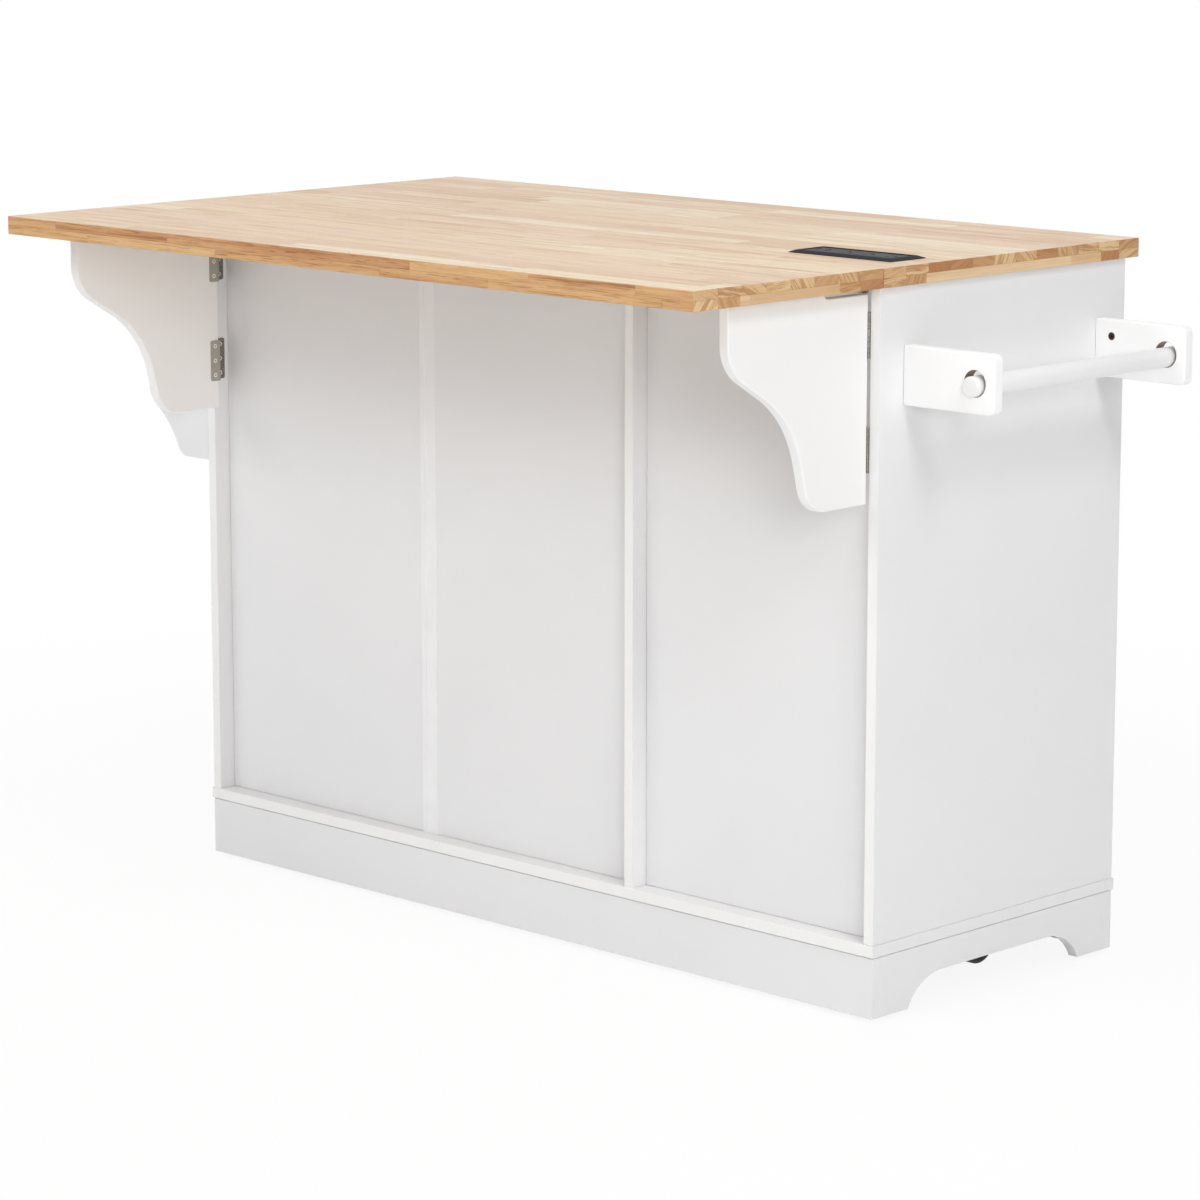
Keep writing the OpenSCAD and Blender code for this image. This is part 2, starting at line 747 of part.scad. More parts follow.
// Every hinge pin stays in the half that is fixed
module hinge_pins() color("gray") {
    for (side = [-1, 1]) {
        at_bracket(side) for (z = bracket_hinges) translate([0, 0, z]) cylinder(h = hinge_h, r = pin_r);
        at_door(side) for (z = door_hinges) translate([0, 0, z]) cylinder(h = hinge_h, r = pin_r);
    }
    at_leaf_hinges() translate([-leaf_hinge_w / 2, 0, 0]) rotate([0, 90, 0])
        cylinder(h = leaf_hinge_w, r = pin_r);
}

module hinge_screws() color("silver") {
    for (side = [-1, 1]) {
        wall_plate_screws(side, false);
        door_wall_screws(side, false);
    }
    short_plate_screws(false);
}

// ---------------------------------------------------------------- leaf brackets

module bracket_for(side) color("white") {
    outline = scroll(bracket_reach, bracket_h, BRACKET_SCROLL);
    at_bracket(side) difference() {
        translate([bracket_t - bracket_pin_x, -bracket_gap, bracket_z0]) rotate([90, 0, -90])
            linear_extrude(bracket_t) difference() {
                polygon(outline);
                translate([-1, bracket_h - notch_h]) square([notch_l + 1 - notch_h, notch_h + 1]);
                translate([notch_l - notch_h, bracket_h]) circle(r = notch_h);
            }
        bracket_plate_screws(true);
    }
}

module bracket_right() bracket_for(1);
module bracket_left() bracket_for(-1);
module bracket_right_hinges() bracket_hinges_for(1);
module bracket_left_hinges() bracket_hinges_for(-1);

// ---------------------------------------------------------------- doors and drawers

// A front with a sunk field, whose outer face is at y = 0
module front_board(w, h) {
    difference() {
        block([0, -panel_t, 0], [w, 0, h]);
        block([frame_w, -field_sink, frame_w], [w - frame_w, 1, h - frame_w]);
    }
}

// A knob, turned about an axis along +Z from the face it stands on, and its screw
module knob(through) {
    stem_r = 5.5;
    foot_r = stem_r + 3;
    rim = 3;
    profile = concat([[0, 0], [foot_r, 0], [foot_r, 2]], arc([stem_r + 4, 6], 4, 250, 180, 4),
        [[stem_r, knob_l / 2]], arc([knob_r - rim, knob_l - 2 * rim], rim, -60, 60, 5),
        [[knob_r * 0.55, knob_l - 0.8], [0, knob_l]]);
    rotate_extrude() polygon(profile);
    translate([0, 0, -through - knob_screw_head]) {
        cylinder(h = through + knob_screw_head + eps, r = knob_screw_r);
        cylinder(h = knob_screw_head, r = 2 * knob_screw_r);
    }
}

module knob_hole(through) {
    translate([0, 0, -through - 1]) cylinder(h = through + 2, r = knob_screw_r + bore_play);
}

// Where a door's knob stands, in the door hinge's own directions
module at_door_knob(side) {
    at_door(side) translate([door_gap / 2 + door_w - knob_edge, y_front - door_pin_y, z_fronts1 - knob_drop])
        facing("+y") children();
}

module door_for(side) color("white") {
    difference() {
        at_door(side) translate([door_gap / 2, y_front - door_pin_y, z_fronts0])
            front_board(door_w, z_fronts1 - z_fronts0);
        at_door(side) door_plate_screws(true);
        at_door_knob(side) knob_hole(panel_t);
    }
}

module door_left() door_for(-1);
module door_right() door_for(1);
module door_left_hinges() door_hinges_for(-1);
module door_right_hinges() door_hinges_for(1);
module door_left_knob() color("silver") at_door_knob(-1) knob(panel_t);
module door_right_knob() color("silver") at_door_knob(1) knob(panel_t);

module at_drawer_knob(i) {
    translate([drawer_x, y_front, DRAWERS[i][0] + DRAWERS[i][1] / 2]) facing("+y") children();
}

module drawer_front(i) color("white") {
    w = drawer_bay_w - 2 * front_gap;
    difference() {
        translate([drawer_x - w / 2, y_front, DRAWERS[i][0]]) front_board(w, DRAWERS[i][1]);
        at_drawer_knob(i) knob_hole(panel_t);
    }
}

module drawer_knob(i) color("silver") at_drawer_knob(i) knob(panel_t);

// The open box of a drawer and the two bars that run in its runners
module drawer_box(i) color("white") {
    z0 = DRAWERS[i][0] + drawer_lift;
    z1 = DRAWERS[i][0] + DRAWERS[i][1] - drawer_fall;
    x0 = drawer_x - drawer_box_w / 2;
    x1 = x0 + drawer_box_w;
    difference() {
        block([x0, drawer_y0, z0], [x1, drawer_y1, z1]);
        block([x0 + drawer_wall, drawer_y0 + drawer_wall, z0 + drawer_floor],
            [x1 - drawer_wall, drawer_y1 + 1, z1 + 1]);
    }
    bar_w = runner_room - runner_t - metal_gap;
    bar_h = runner_h - 2 * (runner_t + metal_gap);
    for (x = [x0 - bar_w, x1])
        block([x, drawer_y0, (z0 + z1 - bar_h) / 2], [x + bar_w, drawer_y1 - 2, (z0 + z1 + bar_h) / 2]);
}

// A channel on each side of the bay for every drawer, open towards the drawer
module drawer_runners() color("silver") {
    for (d = DRAWERS, side = [-1, 1]) {
        zc = d[0] + (d[1] + drawer_lift - drawer_fall) / 2;
        translate([side < 0 ? x_part1 : x_bay1, 0, zc]) mirror([side < 0 ? 0 : 1, 0, 0]) difference() {
            block([0, drawer_y0, -runner_h / 2], [runner_room - 1, drawer_y1 - 2, runner_h / 2]);
            block([runner_t, drawer_y0 - 1, runner_t - runner_h / 2],
                [runner_room, drawer_y1, runner_h / 2 - runner_t]);
        }
    }
}

// ---------------------------------------------------------------- towel rack and spice rack

module rack_plates() color("white") {
    r = rack_corner_r;
    difference() {
        for (y = rack_y) translate([x_right, y + rack_t, rack_z0]) rotate([90, 0, 0]) linear_extrude(rack_t)
            difference() {
                union() {
                    square([rack_l - r, rack_h]);
                    translate([0, r]) square([rack_l, rack_h - 2 * r]);
                    for (z = [r, rack_h - r]) translate([rack_l - r, z]) circle(r = r);
                }
                translate([rack_l - rack_hole_end, rack_h / 2]) circle(r = rack_hole_r);
            }
        at_rack_cams() translate([0, 0, -1]) cylinder(h = cam_l + cam_sink + 1.2, r = cam_r + bore_play);
    }
}

// Two cams sit one above the other in each plate's inner face
module at_rack_cams() {
    for (z = [-1, 1]) translate([x_right + cam_in, 0, rack_hole_z + z * cam_spread]) {
        translate([0, rack_y[0] + rack_t, 0]) facing("-y") children();
        translate([0, rack_y[1], 0]) facing("+y") children();
    }
}

module rack_cams() color("silver") {
    at_rack_cams() translate([0, 0, cam_sink]) cylinder(h = cam_l, r = cam_r);
}

module towel_bar() color("white") {
    y0 = rack_y[0] - bar_proud;
    y1 = rack_y[1] + rack_t + bar_proud;
    ease = 2;
    translate([rack_hole_x, y0, bar_z]) rotate([-90, 0, 0]) rotate_extrude()
        polygon([[0, 0], [bar_r - ease, 0], [bar_r, ease], [bar_r, y1 - y0 - ease],
            [bar_r - ease, y1 - y0], [0, y1 - y0]]);
}

module spice_side_boards() color("white") {
    outline = scroll(spice_d, spice_h, SPICE_SCROLL);
    for (y = [spice_y0, spice_y1 - panel_t])
        translate([x_left, y, spice_z0]) rotate([90, 0, 180]) linear_extrude(panel_t) polygon(outline);
}

module spice_shelves() color("white") {
    for (z = spice_shelves_z)
        block([x_left - spice_d + spice_t, spice_y0 + panel_t, z - spice_t],
            [x_left, spice_y1 - panel_t, z]);
}

module spice_guard_rails() color("white") {
    for (z = spice_shelves_z)
        block([x_left - spice_d, spice_y0 + panel_t, z + guard_up],
            [x_left - spice_d + spice_t, spice_y1 - panel_t, z + guard_up + guard_h]);
}

// ---------------------------------------------------------------- power strip

// A bevelled flange on the worktop and the case that hangs through it, with a sunk face
module power_strip_case() color("dimgray") {
    b = strip_bevel;
    face_x0 = (strip_x0 + strip_x1 - strip_face_l) / 2;
    face_y0 = (strip_y0 + strip_y1 - strip_face_d) / 2;
    difference() {
        union() {
            hull() {
                block([strip_x0, strip_y0, worktop_h], [strip_x1, strip_y1, worktop_h + 0.8]);
                block([strip_x0 + b, strip_y0 + b, worktop_h],
                    [strip_x1 - b, strip_y1 - b, worktop_h + strip_rise]);
            }
            block([strip_x0 + strip_case_in, strip_y0 + strip_case_in, worktop_h - strip_depth],
                [strip_x1 - strip_case_in, strip_y1 - strip_case_in, worktop_h + eps]);
        }
        block([face_x0, face_y0, worktop_h - strip_face_depth],
            [face_x0 + strip_face_l, face_y0 + strip_face_d, worktop_h + strip_rise + 1]);
    }
    translate([strip_x0 + 30, (strip_y0 + strip_y1) / 2, worktop_h - strip_depth - 4])
        tube(4 + eps, 6, 4);
}

// Inserts side by side in the sunk face: three sockets for plugs and one with two charging ports
module power_strip_sockets() color("dimgray") {
    face_x0 = (strip_x0 + strip_x1 - strip_face_l) / 2;
    face_y0 = (strip_y0 + strip_y1 - strip_face_d) / 2;
    top = strip_rise - socket_sink;
    for (i = [0:strip_socket_n])
        translate([face_x0 + (i + 0.5) * strip_pitch, face_y0 + strip_face_d / 2, worktop_h]) {
            w = strip_pitch / 2 - socket_play;
            difference() {
                block([-w, -strip_face_d / 2, -strip_face_depth], [w, strip_face_d / 2, top]);
                translate([0, 0, top - slot_depth])
                    if (i > 0) plug_slots(); else for (x = [-port_apart, port_apart]) translate([x, 0, 0])
                        block([-port_w / 2, -port_l / 2, 0], [port_w / 2, port_l / 2, slot_depth + 1]);
            }
            if (i == 0) for (x = [-port_apart, port_apart]) translate([x, 0, top - slot_depth])
                block([-tongue_t, -port_l / 2 + 1, -eps], [0, port_l / 2 - 1, slot_depth - 1]);
        }
}

// Two flat slots and a round one
module plug_slots() {
    for (y = [-1, 1]) translate([0, y * plug_apart, 0])
        block([-4, -1, 0], [4, 1, slot_depth + 1]);
    translate([8.5, 0, 0]) cylinder(h = slot_depth + 1, r = 2.4);
}

// ---------------------------------------------------------------- casters

module at_caster(i) {
    translate([CASTERS[i][0], CASTERS[i][1], 0]) children();
}

// Pan-head screws up through the plates' corners into the bottom board
module plate_screws(room) {
    for (i = [0:3]) at_caster(i) for (x = [-1, 1], y = [-1, 1])
        translate([x * caster_hole_at, y * caster_hole_at, z_board - caster_plate_t]) {
            cylinder(h = screw_l + caster_plate_t + (room ? screw_play : 0),
                r = caster_screw_r + (room ? screw_play : 0));
            if (!room) translate([0, 0, -1.8]) cylinder(h = 1.8, r = 3.6);
        }
}

module caster_screws() color("silver") plate_screws(false);

// A square plate, the race below it and the kingpin that holds the fork up
module caster_plates() color("silver") {
    w = caster_plate_w;
    difference() {
        for (i = [0:3]) at_caster(i) {
            translate([-w / 2, -w / 2, z_board - caster_plate_t])
                linear_extrude(caster_plate_t) round_rect(w, w, 6);
            translate([0, 0, race_z]) cylinder(h = z_board - caster_plate_t - race_z + eps, r = race_r);
            translate([0, 0, fork_z1 - fork_top_t - metal_gap])
                cylinder(h = fork_top_t + 2 * metal_gap + eps, r = kingpin_r);
            translate([0, 0, fork_z1 - fork_top_t - metal_gap - kingpin_head])
                cylinder(h = kingpin_head, r = kingpin_r + 2);
        }
        plate_screws(true);
    }
}

// The fork: a round crown, two raked legs, and the axle bolt with its head and nut
module caster_fork(i) color("silver") {
    leg = [[12, fork_z1 - 1], [-18, fork_z1 - 1], [pedal_y - 5, pedal_z - 2], [pedal_y - 4, pedal_z - 7],
        [-caster_trail - 8, wheel_r - 2], [-caster_trail + 8, wheel_r - 5]];
    outer = fork_half + fork_t;
    at_caster(i - 1) {
        difference() {
            union() {
                translate([0, 0, fork_z1 - fork_top_t]) cylinder(h = fork_top_t, r = race_r + 1);
                for (x = [-outer, fork_half]) {
                    translate([x, 0, 0]) rotate([90, 0, 90]) linear_extrude(fork_t) polygon(leg);
                    translate([x, -caster_trail, wheel_r]) facing("+x") cylinder(h = fork_t, r = 9);
                    if (i < 3) translate([x, pedal_y, pedal_z]) facing("+x") cylinder(h = fork_t, r = 4.5);
                }
            }
            translate([0, 0, fork_z1 - fork_top_t - 1]) cylinder(h = fork_top_t + 2, r = kingpin_r + bore_play);
            if (i < 3) translate([-outer - 1, pedal_y, pedal_z]) facing("+x")
                cylinder(h = 2 * outer + 2, r = pedal_pin_r + bore_play);
        }
        translate([-outer - axle_nut_h, -caster_trail, wheel_r]) facing("+x") {
            cylinder(h = 2 * (outer + axle_nut_h), r = axle_r);
            for (z = [0, 2 * outer + axle_nut_h]) translate([0, 0, z])
                cylinder(h = axle_nut_h + eps, r = axle_nut_r, $fn = 6);
        }
    }
}

// The wheel: a round-shouldered tread, dished sides and a bore for the axle
module caster_wheel(i) color("black") {
    half = wheel_w / 2;
    bore = axle_r + bore_play;
    hub = 10;
    dish = 2.5;
    edge = 4;
    profile = concat([[bore, -half], [hub, -half], [hub + 2, -half + dish], [wheel_r - 2 * edge, -half + dish],
        [wheel_r - 1.5 * edge, -half]], arc([wheel_r - edge, edge - half], edge, -90, 0, 4),
        arc([wheel_r - edge, half - edge], edge, 0, 90, 4), [[wheel_r - 1.5 * edge, half],
        [wheel_r - 2 * edge, half - dish], [hub + 2, half - dish], [hub, half], [bore, half]]);
    at_caster(i - 1) translate([0, -caster_trail, wheel_r]) facing("+x")
        rotate_extrude($fn = 64) polygon(profile);
}

// The brake pedal: two ears on a pin through the fork, a tread plate and a shoe over the wheel
module brake_pedal(i) color("black") {
    half = fork_half - metal_gap;
    top = pedal_t - pedal_drop;
    at_caster(i - 1) translate([0, pedal_y, pedal_z]) {
        translate([-half, 0, 0]) facing("+x") cylinder(h = 2 * half, r = pedal_boss_r);
        block([-half, -pedal_l, -pedal_drop], [half, 0, top]);
        block([-half - pedal_wide, -pedal_l, -pedal_drop], [half + pedal_wide, -2 * pedal_boss_r - 1, top]);
        block([-half + pedal_wide, -pedal_boss_r - pedal_wide, -shoe_l], [half - pedal_wide, -2, 0]);
        translate([-fork_half - fork_t, 0, 0]) facing("+x")
            cylinder(h = 2 * (fork_half + fork_t), r = pedal_pin_r);
    }
}

main_top();
side_panel_right();
side_panel_left();
partition();
bottom_board();
back_panels();
back_joint_strip();
plinth_long_boards();
plinth_end_boards();
top_rails();
shelf();
shelf_pins();
rack_plates();
rack_cams();
spice_side_boards();
spice_shelves();
spice_guard_rails();
power_strip_case();
power_strip_sockets();
leaf_hinge_short_plates();
bracket_hinge_wall_plates();
door_hinge_wall_plates();
hinge_pins();
hinge_screws();
drawer_runners();
caster_plates();
caster_screws();
drop_leaf();
leaf_hinge_long_plates();
bracket_right();
bracket_right_hinges();
bracket_left();
bracket_left_hinges();
door_left();
door_left_hinges();
door_left_knob();
door_right();
door_right_hinges();
door_right_knob();
drawer_front(0);  // drawer_top_front
drawer_box(0);  // drawer_top_box
drawer_knob(0);  // drawer_top_knob
drawer_front(1);  // drawer_middle_front
drawer_box(1);  // drawer_middle_box
drawer_knob(1);  // drawer_middle_knob
drawer_front(2);  // drawer_bottom_front
drawer_box(2);  // drawer_bottom_box
drawer_knob(2);  // drawer_bottom_knob
towel_bar();
caster_fork(1);  // caster_fork_1
caster_fork(2);  // caster_fork_2
caster_fork(3);  // caster_fork_3
caster_fork(4);  // caster_fork_4
caster_wheel(1);  // caster_wheel_1
caster_wheel(2);  // caster_wheel_2
caster_wheel(3);  // caster_wheel_3
caster_wheel(4);  // caster_wheel_4
brake_pedal(1);  // brake_pedal_1
brake_pedal(2);  // brake_pedal_2
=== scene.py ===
"""The looks of a drop leaf kitchen island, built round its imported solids.

Every length is in metres, in the frame of the solids: +X runs to the towel rail end, -Y to
the side with the leaf, +Z up, and the origin is on the floor.
"""

import math

import bmesh
import bpy
import numpy as np
from bpy.props import FloatProperty, FloatVectorProperty, PointerProperty
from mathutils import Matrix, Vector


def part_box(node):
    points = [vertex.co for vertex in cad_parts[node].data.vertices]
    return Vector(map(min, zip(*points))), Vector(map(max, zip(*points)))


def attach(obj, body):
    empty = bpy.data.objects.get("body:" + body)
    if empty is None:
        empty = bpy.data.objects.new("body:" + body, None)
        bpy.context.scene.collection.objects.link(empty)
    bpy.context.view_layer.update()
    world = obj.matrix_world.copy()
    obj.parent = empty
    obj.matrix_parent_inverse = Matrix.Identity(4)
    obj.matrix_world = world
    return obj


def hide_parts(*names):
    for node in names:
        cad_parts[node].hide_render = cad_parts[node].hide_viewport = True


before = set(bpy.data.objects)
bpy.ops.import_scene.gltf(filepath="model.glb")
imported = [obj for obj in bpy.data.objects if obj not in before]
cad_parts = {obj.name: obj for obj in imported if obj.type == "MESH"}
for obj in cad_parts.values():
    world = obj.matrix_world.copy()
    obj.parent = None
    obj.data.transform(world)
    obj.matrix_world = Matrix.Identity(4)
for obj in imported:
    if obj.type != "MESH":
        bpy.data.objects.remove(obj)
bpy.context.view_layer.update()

bl_info = {
    "name": "Drop Leaf Kitchen Island Looks",
    "version": (1, 0, 0),
    "blender": (4, 5, 0),
    "location": "3D Viewport > Sidebar > Island",
    "description": "Dresses the island's solids with butcher block, satin paint, metal and a studio",
    "category": "Object",
}

MM = 0.001
BOARD_T = 15 * MM
PLATE_T = 1.2 * MM
HINGE_H = 56 * MM
CREASE = 35

# the directions of an outline's width, its height and the board's thickness
LYING = (1, 0, 0), (0, 1, 0), (0, 0, 1)
FACING_X = (0, 1, 0), (0, 0, 1), (1, 0, 0)
FACING_Y = (1, 0, 0), (0, 0, 1), (0, 1, 0)

# name, place, width, height and share of the first one's power
LAMPS = (("high_right_lamp", (3.99, -1.14, 4.11), 1.3, 1.6, 1.0),
         ("low_right_lamp", (4.35, -3.05, 1.92), 1.4, 1.4, 0.98),
         ("wide_left_lamp", (-1.64, -4.07, 3.81), 5.0, 1.8, 1.5),
         ("top_lamp", (0.61, -0.61, 5.42), 3.0, 3.0, 0.85),
         ("doors_fill_lamp", (-0.7, 4.7, 1.5), 2.0, 1.4, 0.75),
         ("spice_rack_fill_lamp", (-4.7, 0.7, 1.5), 1.4, 1.4, 0.7))
LAMPS_TARGET = (0, 0, 0.5)
CAMERA_PLACE = (3.9162, -3.9493, 1.4845)
CAMERA_PITCH, CAMERA_TURN = math.radians(90 - 10.673), math.radians(44.31)
CAMERA_SENSOR, CAMERA_LENS = 36.0, 129.67


# ---------------------------------------------------------------- measures


def low_high(node):
    """The two opposite corners of a solid's box, as arrays."""
    low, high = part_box(node)
    return np.array(low), np.array(high)


def srgb(red, green, blue):
    """A colour written as it shows on a screen, from 0 to 255, turned into the linear one that
    shaders use: c / 12.92 up to 0.04045, above it ((c + 0.055) / 1.055) to the power 2.4."""
    c = np.array([red, green, blue]) / 255
    linear = np.where(c <= 0.04045, c / 12.92, ((c + 0.055) / 1.055) ** 2.4)
    return (*linear.tolist(), 1.0)


def opaque(colour, times=1.0):
    """A colour's first three parts, each times a number, and full cover."""
    return (*(times * part for part in colour[:3]), 1.0)


TOP_LOW, TOP_HIGH = low_high("main_top")
LEAF_LOW, LEAF_HIGH = low_high("drop_leaf")
PANEL_LOW, PANEL_HIGH = low_high("side_panel_right")
FAR_LOW, FAR_HIGH = low_high("side_panel_left")
BACK_LOW, BACK_HIGH = low_high("back_panels")
SEAM_Y = float(TOP_LOW[1] + LEAF_HIGH[1]) / 2
UNDER_Z = float(TOP_LOW[2])
LAYER_T = float(TOP_HIGH[2] - TOP_LOW[2]) / 2


# ---------------------------------------------------------------- surfaces


def faced(points, quads, caps):
    """Turns a closed shell outwards. Its volume is a sixth of the sum of a . (b x c) over the
    triangles a, b, c that fan from each face's first corner; if that is negative, every face
    is written in the other direction."""
    points, quads = np.asarray(points, float), np.asarray(quads, int).reshape(-1, 4)
    fans = [quads[:, [0, 1, 2]], quads[:, [0, 2, 3]]]
    fans += [np.stack([np.full(len(c) - 2, c[0]), c[1:-1], c[2:]], 1) for c in caps]
    a, b, c = (points[np.concatenate(fans)[:, i]] for i in range(3))
    a, b, c = (corner - points.mean(0) for corner in (a, b, c))
    if np.einsum("ij,ij->", a, np.cross(b, c)) < 0:
        quads, caps = quads[:, ::-1], [cap[::-1] for cap in caps]
    return points, quads, caps


def stacked(rings, joined=False):
    """A shell through rings of equally many points: point (k, i) is point i of ring k, and a
    quad spans (k, i), (k, i + 1), (k + 1, i + 1) and (k + 1, i). A flat face closes the first
    and the last ring, or they are joined to each other."""
    rings = np.asarray(rings, float)
    m, n = rings.shape[:2]
    k, i = np.meshgrid(np.arange(m if joined else m - 1), np.arange(n), indexing="ij")
    above, beside = (k + 1) % m, (i + 1) % n
    quads = np.stack([k * n + i, k * n + beside, above * n + beside, above * n + i], -1)
    caps = [] if joined else [np.arange(n)[::-1], np.arange(n) + (m - 1) * n]
    return faced(rings.reshape(-1, 3), quads, caps)


def together(*shells):
    """Several closed shells as one."""
    starts = np.cumsum([0] + [len(s[0]) for s in shells[:-1]])
    points = np.concatenate([s[0] for s in shells])
    quads = np.concatenate([s[1] + start for s, start in zip(shells, starts)])
    caps = [cap + start for s, start in zip(shells, starts) for cap in s[2]]
    return points, quads, caps


def on_axes(flat, height, origin, u, v, w):
    """Carries a flat outline into space: origin + x u + y v + height w."""
    flat = np.asarray(flat, float)
    return (np.asarray(origin, float) + flat[..., :1] * np.asarray(u, float)
            + flat[..., 1:2] * np.asarray(v, float) + height * np.asarray(w, float))


def round_rectangle(low, high, radius, steps=3):
    """The outline of a rectangle whose corners are quarter circles: corner centre
    + radius (cos t, sin t), with t a quarter turn further at each corner."""
    t = (np.arange(4) * math.pi / 2)[:, None] + np.linspace(0, math.pi / 2, steps)
    x = np.array([high[0] - radius, low[0] + radius, low[0] + radius, high[0] - radius])
    y = np.array([high[1] - radius, high[1] - radius, low[1] + radius, low[1] + radius])
    corners = np.stack([x[:, None] + radius * np.cos(t), y[:, None] + radius * np.sin(t)], -1)
    return corners.reshape(-1, 2)


def drawn_in(outline, by):
    """An outline that runs against the clock, moved inwards. Each corner goes by
    (m + n) / (1 + m . n) times the distance, where m and n are the inward normals of its edges."""
    ahead = np.roll(outline, -1, 0) - outline
    ahead /= np.linalg.norm(ahead, axis=1, keepdims=True)
    n = np.stack([-ahead[:, 1], ahead[:, 0]], 1)
    m = np.roll(n, 1, 0)
    return outline + by * (m + n) / (1 + (m * n).sum(1, keepdims=True))


def ease_profile(depth, ease, steps=4):
    """Pairs of height and inset up the side of a board with rounded arrises: inset is
    ease (1 - sin t) and height ease (1 - cos t), with t from 0 to a quarter turn, and the
    same from the other face."""
    t = np.linspace(0, math.pi / 2, steps)
    rise, inset = ease * (1 - np.cos(t)), ease * (1 - np.sin(t))
    return list(zip(rise, inset)) + list(zip(depth - rise[::-1], inset[::-1]))


def eased_board(low, high, ease):
    """A board between two corners, with every arris and corner rounded: each level is a
    rectangle drawn in by the inset, whose own corners have the radius that is left."""
    low, high = np.asarray(low, float), np.asarray(high, float)
    return stacked([
        on_axes(round_rectangle(low[:2] + d, high[:2] - d, max(ease - d, ease * 0.1)), h,
                (0, 0, low[2]), *LYING)
        for h, d in ease_profile(high[2] - low[2], ease)])


def cut_board(outline, depth, ease, origin, u, v, w, steps=4):
    """A board of any outline, with its arrises rounded: the outline drawn in by the inset at
    each height across the board's thickness."""
    return stacked([on_axes(drawn_in(outline, d), h, origin, u, v, w)
                    for h, d in ease_profile(depth, ease, steps)])


def turned(profile, centre, axis, steps, joined=False):
    """A shape turned about an axis: radius r at height h becomes
    centre + h axis + r (cos t p + sin t q), with p and q square to the axis."""
    axis = np.asarray(axis, float)
    p = np.cross(axis, (0, 0, 1) if abs(axis[2]) < 0.9 else (1, 0, 0))
    p /= np.linalg.norm(p)
    q = np.cross(axis, p)
    t = np.linspace(0, 2 * math.pi, steps, endpoint=False)[None, :, None]
    profile = np.asarray(profile, float)
    r, h = profile[:, :1, None], profile[:, 1:2, None]
    rings = np.asarray(centre, float) + h * axis + r * (np.cos(t) * p + np.sin(t) * q)
    return stacked(rings, joined)


def arc(centre, radius, first, last, steps):
    """Points of a circle's arc, its angles in degrees: centre + radius (cos t, sin t)."""
    t = np.radians(np.linspace(first, last, steps))
    return np.asarray(centre, float) + radius * np.stack([np.cos(t), np.sin(t)], 1)


def scrolled(reach, height, nose_z, nose_r, slope_top, slope_l, cove_r, slope_low, heel_r):
    """The outline of a scrolled bracket with its corner at the wall: a nose arc, a straight
    slope, a hollow cove, a second slope and a heel arc, each starting in the direction in
    which the last one ends. Slopes are in degrees below the horizontal."""
    top, low = math.radians(slope_top), math.radians(slope_low)
    nose = np.array([reach - nose_r, nose_z])
    nose_end = nose + nose_r * np.array([math.sin(top), -math.cos(top)])
    cove_start = nose_end - slope_l * np.array([math.cos(top), math.sin(top)])
    cove = cove_start + cove_r * np.array([math.sin(top), -math.cos(top)])
    cove_end = cove + cove_r * np.array([-math.sin(low), math.cos(low)])
    heel_z = heel_r * (1 - math.cos(low))
    heel = np.array([cove_end[0] - (cove_end[1] - heel_z) / math.tan(low), heel_z])
    heel = heel + heel_r * np.array([-math.sin(low), math.cos(low)])
    return [np.array([[reach, height]]), arc(nose, nose_r, 0, slope_top - 90, 24),
            arc(cove, cove_r, 90 + slope_top, 90 + slope_low, 36),
            arc(heel, heel_r, slope_low - 90, -90, 18)]


def against_clock(outline):
    """The outline in the direction in which its area, half the sum of x dy - y dx, is positive."""
    x, y = outline.T
    area = (x * np.roll(y, -1) - y * np.roll(x, -1)).sum()
    return outline if area > 0 else outline[::-1]


def cross_screws(seats, proud, radius, length, recess=0.5, crown=0.12):
    """Countersunk screws with a cross recess, each a little proud of its seat, a place and the
    way it faces, and a number for each point that is 1 in the recess and under the head, where
    the finish paints shade. Over the head, at distance r from its
    middle and angle t, the height is a low crown 1 - (r / R)^2 less the recess, whose arms are
    where the smaller of |r cos t| and |r sin t| is under a fifth of R, and whose hub is round.
    The cone and the shank follow."""
    t = np.linspace(0, 2 * math.pi, 40, endpoint=False)
    share = np.array([0.06, 0.16, 0.27, 0.38, 0.5, 0.6, 0.68, 0.8, 0.92, 1.0])
    r = radius * share[:, None]
    arm = np.minimum(abs(r * np.cos(t)), abs(r * np.sin(t))) / radius
    sunk = np.clip((0.2 - arm) / 0.06, 0, 1) * np.clip((0.66 - share[:, None]) / 0.08, 0, 1)
    sunk = np.maximum(sunk, np.clip((0.44 - share[:, None]) / 0.1, 0, 1))
    head = radius * (crown * (1 - share[:, None] ** 2) - recess * sunk) + 0 * t
    below = np.array([[radius, -0.12 * radius], [radius / 2, -0.6 * radius],
                      [radius / 2, -length * 0.8], [radius * 0.08, -length]])
    radii = np.concatenate([r + 0 * t, below[:, :1] + 0 * t])
    heights = np.concatenate([head, below[:, 1:] + 0 * t])
    # painted shade: 1 in the recess and under the head, where the finish darkens the colour
    shade = np.concatenate([sunk, 1 + 0 * below[:, :1] + 0 * t])
    shells = []
    for (place, way), turn in zip(seats, np.arange(len(seats)) * 0.9 + 0.3):
        w = np.asarray(way, float)
        u = np.cross(w, (0, 0, 1) if abs(w[2]) < 0.9 else (1, 0, 0))
        v = np.cross(w, u)
        round_about = np.cos(t + turn)[:, None] * u + np.sin(t + turn)[:, None] * v
        shells.append(stacked(np.asarray(place, float) + proud * w + heights[..., None] * w
                              + radii[..., None] * round_about))
    return together(*shells), np.tile(shade.ravel(), len(shells))


# ---------------------------------------------------------------- pieces


def in_scene(name, data):
    """A new object for a mesh, a lamp or a camera."""
    thing = bpy.data.objects.new(name, data)
    bpy.context.scene.collection.objects.link(thing)
    return thing


